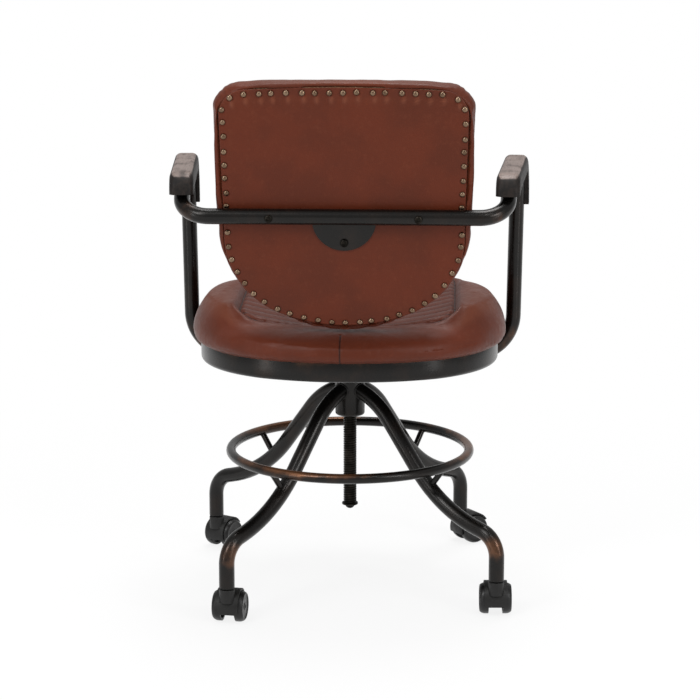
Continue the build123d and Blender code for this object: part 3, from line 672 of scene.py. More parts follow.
def swept(
    bm: bmesh.types.BMesh,
    section: Sequence[tuple[float, float]],
    corners: Sequence[Vector],
    radii: Sequence[float],
    bend_deg: float,
    straight: float = 12.0,
) -> None:
    """Carry a closed section along straight runs and bends, with the ends closed.

    Args:
        bm: the mesh to add to.
        section: points across (side, up) in millimetres.
        corners: the route's corner points in millimetres.
        radii: the bend radius at each inner corner in millimetres.
        bend_deg: the largest turn in one step of a bend.
        straight: the longest step of a straight run in millimetres.
    """
    heading = (corners[1] - corners[0]).normalized()
    side = heading.cross(Vector((0, 0, 1))).normalized()
    lift = side.cross(heading).normalized()
    start = [bm.verts.new((corners[0] + side * x + lift * y) * MM) for x, y in section]
    edges = [bm.edges.new((a, b)) for a, b in zip(start, start[1:] + start[:1])]
    position = corners[0]

    def run_to(target: Vector) -> list[bmesh.types.BMEdge]:
        """Carry the section straight to a point and return its last ring."""
        ring = edges
        count = max(1, math.ceil((target - position).length / straight))
        for _ in range(count):
            verts, ring = grown_ring(bm, ring)
            bmesh.ops.translate(bm, verts=verts, vec=(target - position) * MM / count)
        return ring

    for corner, after, radius in zip(corners[1:], corners[2:], radii):
        incoming = (corner - position).normalized()
        outgoing = (after - corner).normalized()
        turn = incoming.angle(outgoing)
        setback = radius * math.tan(turn / 2)
        target = corner - incoming * setback
        edges = run_to(target)
        axis = incoming.cross(outgoing).normalized()
        centre = (target + axis.cross(incoming) * radius) * MM
        steps = max(2, math.ceil(math.degrees(turn) / bend_deg))
        for _ in range(steps):
            made = bmesh.ops.spin(bm, geom=edges, cent=centre, axis=axis, angle=turn / steps, steps=1)
            edges = [g for g in made["geom_last"] if isinstance(g, bmesh.types.BMEdge)]
        position = corner + outgoing * setback
    run_to(corners[-1])
    bmesh.ops.holes_fill(bm, edges=[e for e in bm.edges if e.is_boundary])


def circle_section(radius: float, sides: int) -> list[tuple[float, float]]:
    """Points of a round section in millimetres."""
    turns = [FULL_TURN * i / sides for i in range(sides)]
    return [(radius * math.cos(t), radius * math.sin(t)) for t in turns]


def along_axis(origin: Vector, direction: Vector) -> Matrix:
    """Placement whose Z axis points along a direction, its origin given in millimetres."""
    return Matrix.Translation(origin * MM) @ direction.to_track_quat("Z", "Y").to_matrix().to_4x4()


def eased(bm: bmesh.types.BMesh, width: float, sharp_deg: float = 35.0) -> None:
    """Bevel the sharp edges of a mesh by a width in millimetres, so that they catch the light."""
    sharp = [e for e in bm.edges if len(e.link_faces) == 2 and e.calc_face_angle(0) > math.radians(sharp_deg)]
    bmesh.ops.bevel(
        bm,
        geom=sharp,
        offset=width * MM,
        offset_type="OFFSET",
        affect="EDGES",
        segments=2,
        profile=0.5,
        material=-1,
        clamp_overlap=True,
    )


def bead(name: str, points: Sequence[Vector], radius: float, chance: random.Random) -> bmesh.types.BMesh:
    """Lay a closed weld bead through points given in millimetres.

    Args:
        name: a name for the working curve.
        points: the bead's middle line.
        radius: the bead's thickness in millimetres.
        chance: seeded randomness for its ripple.

    Returns:
        The bead's mesh.
    """
    curve = bpy.data.curves.new(name, "CURVE")
    curve.dimensions = "3D"
    curve.bevel_depth = radius * MM
    curve.bevel_resolution = 3
    spline = curve.splines.new("POLY")
    spline.points.add(len(points) - 1)
    for slot, point in zip(spline.points, points):
        slot.co = (*(point * MM), 1.0)
        slot.radius = 0.85 + 0.3 * chance.random()
    spline.use_cyclic_u = True
    holder = bpy.data.objects.new(name, curve)
    bpy.context.scene.collection.objects.link(holder)
    bpy.context.view_layer.update()
    mesh = bpy.data.meshes.new_from_object(holder)
    bm = bmesh.new()
    bm.from_mesh(mesh)
    bpy.data.objects.remove(holder)
    bpy.data.curves.remove(curve)
    bpy.data.meshes.remove(mesh)
    return bm


def absorb(bm: bmesh.types.BMesh, other: bmesh.types.BMesh) -> None:
    """Move another bmesh's shape into this one and free it."""
    mesh = bpy.data.meshes.new("carry")
    other.to_mesh(mesh)
    other.free()
    bm.from_mesh(mesh)
    bpy.data.meshes.remove(mesh)


# ---------------------------------------------------------------- the base


class Corner(Enum):
    """The four corners of the base, with the leg's number and the castor's trail heading in degrees."""

    FRONT_RIGHT = (0, 57.5)
    FRONT_LEFT = (1, 31.5)
    REAR_LEFT = (2, 8.5)
    REAR_RIGHT = (3, -2.5)

    @property
    def tag(self) -> str:
        """The corner's name in the CAD nodes."""
        return self.name.lower()

    @property
    def angle(self) -> float:
        """The leg's direction about the spindle, in radians."""
        return math.radians(7.7 + 90 * (self.value[0] + 0.5))

    def point(self, radius: float, height: float) -> Vector:
        """A point in the leg's upright plane, in millimetres."""
        return Vector((radius * math.cos(self.angle), radius * math.sin(self.angle), height))


@dataclass
class Base:
    """Hub, bush, legs, foot ring and struts."""

    tube_r: float = 12.5
    leg_route: tuple[tuple[float, float], ...] = (
        (14.5, 334.2),
        (56.0, 324.0),
        (192.0, 159.0),
        (306.0, 130.0),
        (306.0, 62.0),
    )
    leg_bends: tuple[float, ...] = (130.0, 240.0, 40.0)
    hub_r: float = 24.5
    hub_low: float = 289.0
    hub_high: float = 360.0
    bush_r: float = 22.0
    bore_r: float = 11.05
    ring_r: float = 198.5
    ring_z: float = 229.6
    ring_bar_r: float = 8.0
    strut_r: float = 5.0
    strut_foot: tuple[float, float] = (164.0, 184.0)
    strut_start: float = 8.0
    strut_weld: float = 15.2
    weld_r: float = 1.5
    weld_points: int = 40
    # copper at the knee and the shin is partly wear and partly painted highlights
    knee_rub_and_glint: tuple[float, ...] = (302.0, 40.0, 112.0, 30.0)  # middle and width by radius, then by height
    shin_rub: tuple[float, ...] = (178.0, 30.0, 178.0, 26.0)
    # the far legs get less copper: on the legs nearer the camera the copper also paints their highlights
    far_side_glint_share: float = 0.35
    body: str = "base"
    chance: random.Random = field(default_factory=lambda: random.Random(11))

    def build(self) -> None:
        """Make every piece of the base."""
        for corner in Corner:
            self.leg(corner)
            self.strut(corner)
        self.foot_ring()
        self.hub()
        self.bush()

    def leg_wear(self, place: Vector, normal: Vector) -> float:
        """Copper shows on the outer side of the knee and a little on top of the shin, partly as wear and partly as
        painted highlights: more on upward faces and on the legs nearer the camera.
        """
        radius, height = math.hypot(place.x, place.y) / MM, place.z / MM
        knee, shin = (
            hill(radius, *rub[:2]) * hill(height, *rub[2:]) for rub in (self.knee_rub_and_glint, self.shin_rub)
        )
        facing = (0.55 + 0.45 * max(0.0, normal.z)) * (1.0 if place.y < 0 else self.far_side_glint_share)
        return min(1.0, (0.95 * knee + 0.5 * shin) * facing + 0.1)

    def leg(self, corner: Corner) -> None:
        """One bent tube leg with the weld that joins it to the hub."""
        bm = bmesh.new()
        route = [corner.point(r, z) for r, z in self.leg_route]
        swept(bm, circle_section(self.tube_r, 32), route, self.leg_bends, 3.5)
        absorb(bm, self.hub_weld(corner))
        finish_piece(bm, f"leg_{corner.tag}", "tube", Finish.DARK_METAL, self.body, wear=self.leg_wear)

    def hub_weld(self, corner: Corner) -> bmesh.types.BMesh:
        """The bead where a leg meets the hub, found from the tube and the hub's cylinder."""
        (r0, z0), (r1, z1) = self.leg_route[:2]
        slope = math.atan2(z1 - z0, r1 - r0)
        proud = self.tube_r + 0.2
        outward = Vector((math.cos(corner.angle), math.sin(corner.angle), 0))
        sideways = Vector((-outward.y, outward.x, 0))
        points = []
        for i in range(self.weld_points):
            phi = FULL_TURN * i / self.weld_points
            across, lift = proud * math.sin(phi), proud * math.cos(phi)
            reach = math.sqrt(self.hub_r**2 - across**2) + 0.3
            along = (reach - r0 + lift * math.sin(slope)) / math.cos(slope)
            height = z0 + along * math.sin(slope) + lift * math.cos(slope)
            height = min(height, self.hub_high - 1.0)
            points.append(outward * reach + sideways * across + Vector((0, 0, height)))
        return bead(f"weld_{corner.tag}", points, self.weld_r, self.chance)

    def strut(self, corner: Corner) -> None:
        """A short rod from the leg up to the ring, with a small weld at each end."""
        top = corner.point(self.ring_r, self.ring_z)
        foot = corner.point(*self.strut_foot)
        place = along_axis(foot, (top - foot).normalized())
        bar = (top - foot).length - self.ring_bar_r
        bm = bmesh.new()
        r, low, high = self.strut_r, self.strut_start, bar + 2.0
        turned(bm, rounded([(0.01, low), (r, low), (r, high), (0.01, high)], 0.4), place, steps=24)
        for height in (self.strut_weld, bar + 0.4):
            collar = [(r - 1.2, height - 1.2), (r + 1.0, height), (r - 1.2, height + 1.2)]
            turned(bm, rounded(collar, 1.0), place, steps=24, closed=True)
        finish_piece(bm, f"ring_strut_{corner.tag}", "rod", Finish.DARK_METAL, self.body, wear=lambda p, n: 0.2)

    def foot_ring(self) -> None:
        """A round bar bent to a circle, rubbed on top where feet rest, the copper there also a painted highlight."""

        def wear(place: Vector, normal: Vector) -> float:
            """Three rubbed patches round the ring, most on top, where they also paint highlights."""
            patch = 0.5 + 0.5 * math.sin(3 * math.atan2(place.y, place.x) + 1.2)
            return (0.35 + 0.6 * patch) * (0.5 + 0.55 * max(0.0, normal.z))

        section = [(self.ring_r + x, self.ring_z + y) for x, y in circle_section(self.ring_bar_r, 24)]
        turned_piece("foot_ring", "bar", Finish.DARK_METAL, self.body, section, steps=160, wear=wear)

    def hub(self) -> None:
        """The turned sleeve that the legs are welded to."""
        low, high, r = self.hub_low, self.hub_high, self.hub_r
        section = [(12.2, low), (r, low), (r, high), (17.2, high), (17.2, low + 12), (12.2, low + 12)]
        section = rounded(section[:3], 5.0, 6)[:-1] + rounded(section[1:], 0.8)[1:]
        turned_piece(
            "base_hub", "sleeve", Finish.DARK_METAL, self.body, section, steps=64, wear=lambda p, n: 0.1
        )

    def bush(self) -> None:
        """The threaded bush in the hub, its flange on top."""
        low, high, sleeve_r = self.hub_low + 12.2, self.hub_high + 0.05, 16.9
        section = [
            (self.bore_r, low),
            (sleeve_r, low),
            (sleeve_r, high),
            (self.bush_r, high),
            (self.bush_r, self.hub_high + 3),
            (self.bore_r, self.hub_high + 3),
        ]
        turned_piece("hub_bush", "turned", Finish.SCREW_STEEL, self.body, rounded(section, 0.6))


# ---------------------------------------------------------------- castors


@dataclass
class Castor:
    """One twin wheel castor with its socket."""

    corner: Corner
    foot_r: float = 306.0
    leg_bottom: float = 62.0
    wheel_r: float = 25.0
    wheel_w: float = 14.0
    wheel_space: float = 23.0
    trail: float = 20.0
    stem_r: float = 5.5
    axle_r: float = 3.0

    def __post_init__(self) -> None:
        """Work out where the castor stands, which way it trails and where its axle lies."""
        angle = math.radians(self.corner.value[1])
        heading = Vector((math.sin(angle), math.cos(angle), 0))
        self.foot = Matrix.Translation(self.corner.point(self.foot_r, 0) * MM)
        self.middle = self.corner.point(self.foot_r, self.wheel_r) + heading * self.trail
        self.across = Vector((-heading.y, heading.x, 0))
        self.body = f"castor_{self.corner.tag}"

    def node(self, part: str) -> str:
        """The CAD node of a part of this castor."""
        return f"castor_{part}_{self.corner.tag}"

    def build(self) -> None:
        """Make every piece of the castor."""
        self.socket()
        self.stem()
        eased_node(self.node("hood"), "shell", Finish.CASTOR_PLASTIC, 0.7, self.body)
        self.axle()
        for side, name in ((1, "left"), (-1, "right")):
            self.wheel(side, name)

    def socket(self) -> None:
        """The flanged sleeve in the leg's foot."""
        low = self.leg_bottom - 1
        section = [(5.6, low), (12.4, low), (12.4, low + 1), (10.6, low + 1), (10.6, low + 34), (5.6, low + 34)]
        node = self.node("socket")
        turned_piece(node, "sleeve", Finish.CASTOR_PLASTIC, "base", rounded(section, 0.3), self.foot, 40)

    def stem(self) -> None:
        """The steel stem, with the bright ring that shows under the leg."""
        section = rounded([(0, 43.0), (self.stem_r, 43.0), (self.stem_r, 91.5), (0, 92.0)], 1.2)
        turned_piece(self.node("stem"), "pin", Finish.SCREW_STEEL, self.body, section, self.foot, 32, False)

    def axle(self) -> None:
        """The axle pin."""
        half = self.wheel_space / 2 + self.wheel_w - 1.0
        section = rounded([(0, -half), (self.axle_r, -half), (self.axle_r, half), (0, half)], 0.5)
        place = along_axis(self.middle, self.across)
        turned_piece(self.node("axle"), "pin", Finish.SCREW_STEEL, self.body, section, place, 24, False)

    def wheel(self, side: int, name: str) -> None:
        """One barrel edged wheel: a bead round its face, a dished disc and a cap.

        Args:
            side: 1 for the wheel on the left end of the axle, -1 for the right.
            name: that side's name.
        """
        r, w = self.wheel_r, self.wheel_w
        outer = [
            (r, 0.0),
            (r, 5.8),
            (r - 0.35, 8.4),
            (r - 1.2, 10.8),
            (r - 2.3, 12.7),
            (r - 3.7, w),
            (r - 4.6, w),
            (r - 5.2, w - 0.2),
            (r - 5.9, w - 1.3),
            (14.0, w - 1.6),
            (9.5, w - 1.3),
            (6.2, w - 1.2),
            (5.8, w - 0.2),
            (4.9, w),
            (3.1, w),
        ]
        inner = [(3.1, 0.0), (9.0, 0.0), (9.0, 5.0), (21.0, 5.0), (21.0, 0.0)]
        place = along_axis(self.middle + self.across * side * self.wheel_space / 2, self.across * side)
        bm = bmesh.new()
        turned(bm, outer + inner, place, steps=72, closed=True)
        eased(bm, 0.3, 50.0)
        body = f"wheel_{name}_{self.corner.tag}"
        finish_piece(bm, self.node(f"wheel_{name}"), "disc", Finish.WHEEL_PLASTIC, body, sharp_deg=32.0)


# ---------------------------------------------------------------- the lift screw


@dataclass
class Lift:
    """Threaded spindle, its stop washer and bolt, and the plate under the seat."""

    crest_r: float = 10.95
    root_r: float = 9.5
    lead: float = 4.0
    low: float = 138.05
    high: float = 384.9

    def build(self) -> None:
        """Make every piece of the lift."""
        self.screw()
        self.washer()
        self.bolt()
        eased_node("seat_plate", "eased", Finish.CAST_PLATE, 0.8)
        eased_node("plate_bolts", "eased", Finish.SCREW_STEEL, 0.8)
        eased_node("screw_pin", "eased", Finish.SCREW_STEEL, 0.4)

    def screw(self) -> None:
        """A trapezoid thread: its whole side profile, spun once round while it climbs one lead."""
        bm = bmesh.new()
        count = math.ceil((self.high - self.low) / self.lead) + 2
        profile = []
        for tooth in range(-1, count):
            base = self.low + tooth * self.lead
            profile += [
                (self.root_r, base),
                (self.root_r, base + 0.28 * self.lead),
                (self.crest_r, base + 0.44 * self.lead),
                (self.crest_r, base + 0.84 * self.lead),
            ]
        verts = [bm.verts.new((r * MM, 0, z * MM)) for r, z in profile]
        edges = [bm.edges.new(pair) for pair in zip(verts, verts[1:])]
        steps = 32
        climb = (0, 0, self.lead * MM / steps)
        bmesh.ops.spin(
            bm, geom=verts + edges, cent=(0, 0, 0), axis=(0, 0, 1), dvec=climb, angle=FULL_TURN, steps=steps
        )
        bmesh.ops.remove_doubles(bm, verts=bm.verts, dist=2e-5)
        for height, up in ((self.low, -1), (self.high, 1)):
            everything = list(bm.verts) + list(bm.edges) + list(bm.faces)
            bmesh.ops.bisect_plane(
                bm, geom=everything, plane_co=(0, 0, height * MM), plane_no=(0, 0, up), clear_outer=True
            )
            cut = [e for e in bm.edges if e.is_boundary and abs(e.verts[0].co.z - height * MM) < 1e-5]
            bmesh.ops.holes_fill(bm, edges=cut)
        finish_piece(bm, "lift_screw", "threaded", Finish.SCREW_STEEL, sharp_deg=30.0)

    def washer(self) -> None:
        """The loose washer that stops the screw."""
        section = rounded([(4.1, 134.0), (13.4, 134.0), (13.4, 138.0), (4.1, 138.0)], 1.5)
        turned_piece("stop_washer", "disc", Finish.SCREW_STEEL, "lift_washer", section)

    def bolt(self) -> None:
        """The round headed bolt under the washer."""
        head_z, shank_r, shank_top = 133.9, 4, 159.9
        dome = [(r, head_z - drop) for r, drop in quarter(8.0, 7.0, 8)][:-1]
        section = [(0, shank_top), (shank_r, shank_top), (shank_r, head_z + 0.05), *dome, (0, head_z - 7)]
        turned_piece("stop_bolt", "round", Finish.SCREW_STEEL, "seat", section, steps=32, closed=False)


# ---------------------------------------------------------------- frame and arm pads


@dataclass
class ArmFrame:
    """The one bent tube that makes the rail, the arms and the posts, with its straps and plugs."""

    tube_r: float = 12.5
    rail: tuple[float, float] = (-225.0, 655.0)
    arm_z: float = 693.0
    arm_rear_y: float = -159.0
    post_y: float = 92.0
    post_top_x: float = 275.5
    post_foot_x: float = 270.5
    rail_end_x: float = 252.2
    cross_z: float = 374.0
    end_x: float = 42.0
    bends: tuple[float, ...] = (45.0, 50.0, 60.0, 70.0)

    @property
    def splay(self) -> float:
        """How far the arms spread towards the front, in radians."""
        return math.atan2(self.post_top_x - self.rail_end_x, self.post_y - self.rail[0])

    def arm_x(self, y: float) -> float:
        """How far out the arm is at a depth."""
        return self.post_top_x - (self.post_y - y) * math.tan(self.splay)

    def right_corners(self) -> list[Vector]:
        """The route's corners on the sitter's right."""
        rail_y, rail_z = self.rail
        return [
            Vector((self.arm_x(rail_y), rail_y, rail_z)),
            Vector((self.arm_x(self.arm_rear_y), self.arm_rear_y, self.arm_z)),
            Vector((self.post_top_x, self.post_y, self.arm_z)),
            Vector((self.post_foot_x, self.post_y, self.cross_z)),
            Vector((self.end_x, self.post_y, self.cross_z)),
        ]

    def build(self) -> None:
        """Make the frame and what fastens it."""
        bm = bmesh.new()
        right = self.right_corners()
        left = [Vector((-p.x, p.y, p.z)) for p in reversed(right)]
        radii = list(reversed(self.bends)) + list(self.bends)
        swept(bm, circle_section(self.tube_r, 32), left + right, radii, 4.0)

        def wear(place: Vector, normal: Vector) -> float:
            """Painted copper glints at the rail's bends, where highlights fall, and rubbed low on the posts."""
            bend = hill(abs(place.x) / MM, 245, 26) * hill(place.y / MM, -222, 30)
            low = hill(place.z / MM, 400, 40) * (abs(place.x) > 0.2)
            return min(1.0, 0.14 + 0.35 * (bend + low))

        finish_piece(bm, "arm_frame", "tube", Finish.DARK_METAL, wear=wear)
        eased_node("frame_straps", "eased", Finish.DARK_METAL, 0.6)
        eased_node("strap_bolts", "eased", Finish.SCREW_STEEL, 0.8)
        eased_node("tube_plugs", "eased", Finish.CASTOR_PLASTIC, 1.0)
        eased_node("arm_pad_screws", "eased", Finish.SCREW_STEEL, 0.5)


@dataclass
class ArmPads:
    """The two shaped wooden pads on the arms."""

    frame: ArmFrame
    width: float = 38.0
    height: float = 27.0
    edge_r: float = 10.0
    edge_steps: int = 7
    rear_in: float = 11.0
    rear_r: float = 30.0
    rear_drop: float = 7.0
    front_drop: float = 63.0

    def profile(self) -> tuple[list[Vector], int]:
        """The pad's side outline along the arm from the post, and how many of its points are outer ones."""
        bend = self.frame.bends[2]
        length = (self.frame.post_y - self.frame.arm_rear_y) / math.cos(self.frame.splay)
        rear = self.rear_in - (self.frame.post_y - self.frame.rail[0]) / math.cos(self.frame.splay)

        def arc(hub: Vector, radius: float, first: float, last: float, steps: int) -> list[Vector]:
            """Points of an arc whose ends are given in quarter turns."""
            turns = [math.pi / 2 * (first + (last - first) * i / steps) for i in range(steps + 1)]
            return [hub + Vector((math.cos(t), math.sin(t))) * radius for t in turns]

        front, heel = Vector((-bend, -bend)), Vector((rear + self.rear_r, self.height - self.rear_r))
        crest, back = Vector((-bend, self.height)), Vector((rear + self.rear_r, self.height))
        over = [Vector((self.height, -self.front_drop)), *arc(front, bend + self.height, 0, 1, 24)]
        over += [crest.lerp(back, i / 24) for i in range(1, 25)]
        over += [*arc(heel, self.rear_r, 1, 2, 10)[1:], Vector((rear, -self.rear_drop))]
        under = [Vector((-length, 0.0)).lerp(Vector((-bend, 0.0)), i / 20) for i in range(20)]
        under += [*arc(front, bend, 1, 0, 16), Vector((0.0, -self.front_drop))]
        return over + under, len(over)

    def build(self) -> None:
        """Make both pads."""
        for side, name in ((-1, "left"), (1, "right")):
            self.pad(side, name)

    def pad(self, side: int, name: str) -> None:
        """One pad, cut to its side outline, its long upper edges rounded.

        Args:
            side: -1 for the sitter's left, 1 for the right.
            name: that side's name.
        """
        frame = self.frame
        outline, outer = self.profile()
        count = len(outline)
        outward = [Vector((0.0, 0.0))] * count
        for i in range(outer):
            step = outline[min(i + 1, outer - 1)] - outline[max(i - 1, 0)]
            outward[i] = Vector((step.y, -step.x)).normalized()
        layers = []
        for i in range(self.edge_steps + 1):
            turn = math.pi / 2 * (1 - i / self.edge_steps)
            layers.append((self.width / 2 - self.edge_r * (1 - math.sin(turn)), self.edge_r * (1 - math.cos(turn))))
        layers += [(-depth, inset) for depth, inset in reversed(layers)]
        bm = bmesh.new()
        verts = bmesh.ops.create_circle(bm, cap_ends=True, radius=1.0, segments=count)["verts"]
        edges = [e for e in bm.edges if e.is_boundary]
        for index, (depth, inset) in enumerate(layers):
            if index:
                below = {vert: n for n, vert in enumerate(verts)}
                made, edges = grown_ring(bm, edges)
                above = {}
                for edge in (e for vert in made for e in vert.link_edges):
                    for low, high in (edge.verts, reversed(edge.verts)):
                        if low in below and high not in below:
                            above[below[low]] = high
                verts = [above[n] for n in range(count)]
            for vert, point, out in zip(verts, outline, outward):
                place = point - out * inset
                vert.co = Vector((place.x, place.y, depth)) * MM
        bmesh.ops.holes_fill(bm, edges=edges)
        along = Vector((side * math.sin(frame.splay), math.cos(frame.splay), 0))
        axes = Matrix((along, Vector((0, 0, 1)), along.cross(Vector((0, 0, 1))))).transposed().to_4x4()
        origin = Vector((side * frame.post_top_x, frame.post_y, frame.arm_z))
        bmesh.ops.transform(bm, matrix=Matrix.Translation(origin * MM) @ axes, verts=bm.verts)

        def wear(place: Vector, normal: Vector) -> float:
            """Bare and greyed on top, also a painted sheen there, a little rubbed at the sides."""
            return 0.95 * smooth_share(normal.z, 0.68, 0.8) + 0.12 * abs(normal.x)

        finish_piece(bm, f"arm_pad_{name}", "wood", Finish.ARM_WOOD, wear=wear)


# ---------------------------------------------------------------- outlines shared by the soft pieces


def arc_through(a: Vector, b: Vector, c: Vector, steps: int) -> list[Vector]:
    """Points along the arc through three points, without the last one.

    Args:
        a: where the arc starts.
        b: a point on its way.
        c: where it ends.
        steps: how many points it has.

    Returns:
        The points.
    """
    d = 2 * (a.x * (b.y - c.y) + b.x * (c.y - a.y) + c.x * (a.y - b.y))
    aa, bb, cc = a.length_squared, b.length_squared, c.length_squared
    ux = (aa * (b.y - c.y) + bb * (c.y - a.y) + cc * (a.y - b.y)) / d
    uy = (aa * (c.x - b.x) + bb * (a.x - c.x) + cc * (b.x - a.x)) / d
    centre = Vector((ux, uy))
    radius = (a - centre).length
    first, middle, last = (math.atan2(p.y - uy, p.x - ux) for p in (a, b, c))
    sweep = (last - first) % FULL_TURN
    if (middle - first) % FULL_TURN > sweep:
        sweep -= FULL_TURN
    turns = [first + sweep * i / steps for i in range(steps)]
    return [centre + Vector((math.cos(t), math.sin(t))) * radius for t in turns]


@dataclass(frozen=True)
class BackOutline:
    """The backrest's outline in its own plane, as in the CAD: half width, top and bottom."""

    half: float
    top: float
    bottom: float
    shoulder: tuple[float, ...] = (0.794, 0.958, 0.898, 0.811, 0.979)  # side end, corner's middle, crown's start

    def right(self, steps: int) -> list[Vector]:
        """The right half, from bottom middle to top middle.

        Args:
            steps: how finely it is divided.

        Returns:
            Its points.
        """
        h, t, b = self.half, self.top, self.bottom
        side_end, middle_x, middle_y, crown_x, crown_y = self.shoulder
        bowl, hip = Vector((h * 0.491, -b * 0.907)), Vector((h * 0.973, -b * 0.137))
        side_top, crown = Vector((h, t * side_end)), Vector((h * crown_x, t * crown_y))
        low = arc_through(Vector((-bowl.x, bowl.y)), Vector((0, -b)), bowl, steps * 2)[steps:]
        corner = arc_through(bowl, Vector((h * 0.762, -b * 0.732)), hip, steps * 2)
        side = [hip.lerp(side_top, i / (steps * 2)) for i in range(steps * 2)]
        shoulder = arc_through(side_top, Vector((h * middle_x, t * middle_y)), crown, steps)
        over = arc_through(crown, Vector((0, t)), Vector((-crown.x, crown.y)), steps * 4)[: steps * 2]
        return low + corner + side + shoulder + over + [Vector((0, t))]

    def points(self, steps: int) -> list[Vector]:
        """The whole outline, anticlockwise from bottom middle."""
        right = self.right(steps)
        return right + [Vector((-p.x, p.y)) for p in reversed(right[1:-1])]


class Fence:
    """A closed outline with posts along it, which quickly gives how far a point lies from it."""

    def __init__(self, outline: Sequence[Vector], pitch: float = 1.0) -> None:
        """Set the posts.

        Args:
            outline: the outline's corners, anticlockwise.
            pitch: the space between posts.
        """
        self.posts: list[tuple[Vector, Vector]] = []
        for a, b in zip(outline, [*outline[1:], outline[0]]):
            edge = b - a
            outward = Vector((edge.y, -edge.x, 0)).normalized()
            count = max(1, round(edge.length / pitch))
            self.posts += [(Vector((*a.lerp(b, i / count), 0)), outward) for i in range(count)]
        self.tree = kdtree.KDTree(len(self.posts))
        for index, (place, _) in enumerate(self.posts):
            self.tree.insert(place, index)
        self.tree.balance()

    def distance(self, x: float, y: float) -> float:
        """Distance from a point to the outline, below zero inside it."""
        point = Vector((x, y, 0))
        place, index, gap = self.tree.find(point)
        outward = (point - place).dot(self.posts[index][1])
        return outward if gap < 4 else math.copysign(gap, outward)


# ---------------------------------------------------------------- upholstery


@dataclass
class Stuffing:
    """How a leather cover is filled out: remeshed, blown up a little as cloth, and capped."""

    voxel: float = 5.0
    shrink: float = 1.5
    pressure: float = 4.0
    cap: float = 6.0
    frames: int = 20
    smoothing: int = 4

    def plump(self, node: str, held: Callable[[Vector], float]) -> bpy.types.Object:
        """Fill out a copy of a CAD cushion.

        Args:
            node: the CAD node to start from.
            held: gives how firmly a point is held, 0 to 1, from its place.

        Returns:
            The plumped cover, with one subdivision applied.
        """
        name = f"{node}_cover"
        bm = bmesh.new()
        bm.from_mesh(FRAME["nodes"][node].data)
        bmesh.ops.remove_doubles(bm, verts=bm.verts, dist=2e-6)
        bmesh.ops.recalc_face_normals(bm, faces=bm.faces)
        mesh = bpy.data.meshes.new(name)
        bm.to_mesh(mesh)
        bm.free()
        piece = bpy.data.objects.new(name, mesh)
        bpy.context.scene.collection.objects.link(piece)
        remesh = piece.modifiers.new("skin", "REMESH")
        remesh.mode = "VOXEL"
        remesh.voxel_size = self.voxel * MM
        self.settle(piece)
        for vert, normal in [(v, v.normal.copy()) for v in piece.data.vertices]:
            vert.co -= normal * self.shrink * MM * (1 - held(vert.co))
        self.blow(piece, held)
        soft = self.weigh(piece, "soft", lambda place: 1 - held(place))
        smooth = piece.modifiers.new("ease", "SMOOTH")
        smooth.factor = 0.5
        smooth.iterations = self.smoothing
        smooth.vertex_group = soft.name
        subdivide = piece.modifiers.new("fine", "SUBSURF")
        subdivide.levels = subdivide.render_levels = 1
        self.settle(piece)
        return piece

    def weigh(
        self, piece: bpy.types.Object, name: str, share: Callable[[Vector], float]
    ) -> bpy.types.VertexGroup:
        """Put every vertex whose share is above zero in a new group.

        Args:
            piece: the cover.
            name: the group's name.
            share: gives a vertex's share from its place.

        Returns:
            The group.
        """
        group = piece.vertex_groups.new(name=name)
        for vert in piece.data.vertices:
            if (weight := share(vert.co)) > 0:
                group.add([vert.index], weight, "REPLACE")
        return group

    def blow(self, piece: bpy.types.Object, held: Callable[[Vector], float]) -> None:
        """Run the cloth with pressure inside it, then keep the move within the cap.

        Args:
            piece: the cover.
            held: gives how firmly a point is held, 0 to 1, from its place.
        """
        group = self.weigh(piece, "held", held)
        rest = [v.co.copy() for v in piece.data.vertices]
        cloth = piece.modifiers.new("stuffing", "CLOTH")
        cloth.settings.vertex_group_mass = group.name
        cloth.settings.use_pressure = True
        cloth.settings.uniform_pressure_force = self.pressure
        cloth.settings.effector_weights.gravity = 0
        cloth.settings.tension_stiffness = cloth.settings.compression_stiffness = 18
        cloth.settings.bending_stiffness = 2.0
        cloth.point_cache.frame_start = 1
        cloth.point_cache.frame_end = self.frames
        for frame in range(1, self.frames + 1):
            bpy.context.scene.frame_set(frame)
        shape = piece.evaluated_get(bpy.context.evaluated_depsgraph_get())
        moved = [v.co.copy() for v in shape.data.vertices]
        piece.modifiers.remove(cloth)
        bpy.context.scene.frame_set(1)
        for vert, old, new in zip(piece.data.vertices, rest, moved):
            shift = new - old
            if shift.length > self.cap * MM:
                shift *= self.cap * MM / shift.length
            vert.co = old + shift

    def settle(self, piece: bpy.types.Object) -> None:
        """Apply every modifier on a piece to its mesh."""
        bpy.context.view_layer.update()
        shape = piece.evaluated_get(bpy.context.evaluated_depsgraph_get())
        mesh = bpy.data.meshes.new_from_object(shape)
        piece.modifiers.clear()
        old = piece.data
        piece.data = mesh
        bpy.data.meshes.remove(old)


def dress(
    piece: bpy.types.Object,
    node: str,
    shape: Callable[[Vector, Vector], tuple[Vector, float, float]],
) -> None:
    """Give a plumped cover its seams and puckers, its leather and its place in the frame.

    Args:
        piece: the plumped cover.
        node: the CAD cushion that it replaces.
        shape: gives a vertex's new place, its distance to a seam in millimetres and its wear.
    """
    mesh = piece.data
    bm = bmesh.new()
    bm.from_mesh(mesh)
    bm.normal_update()
    seam_layer = bm.verts.layers.float.new("seam_mm")
    wear_layer = bm.verts.layers.float.new("wear")
    places = []
    for vert in bm.verts:
        place, vert[seam_layer], vert[wear_layer] = shape(vert.co.copy(), vert.normal.copy())
        places.append(place)
    for vert, place in zip(bm.verts, places):
        vert.co = place
    bmesh.ops.recalc_face_normals(bm, faces=bm.faces)
    bm.to_mesh(mesh)
    bm.free()
    smooth_faces(mesh, Finish.LEATHER)
    enrol(piece, node, Finish.LEATHER, "seat")


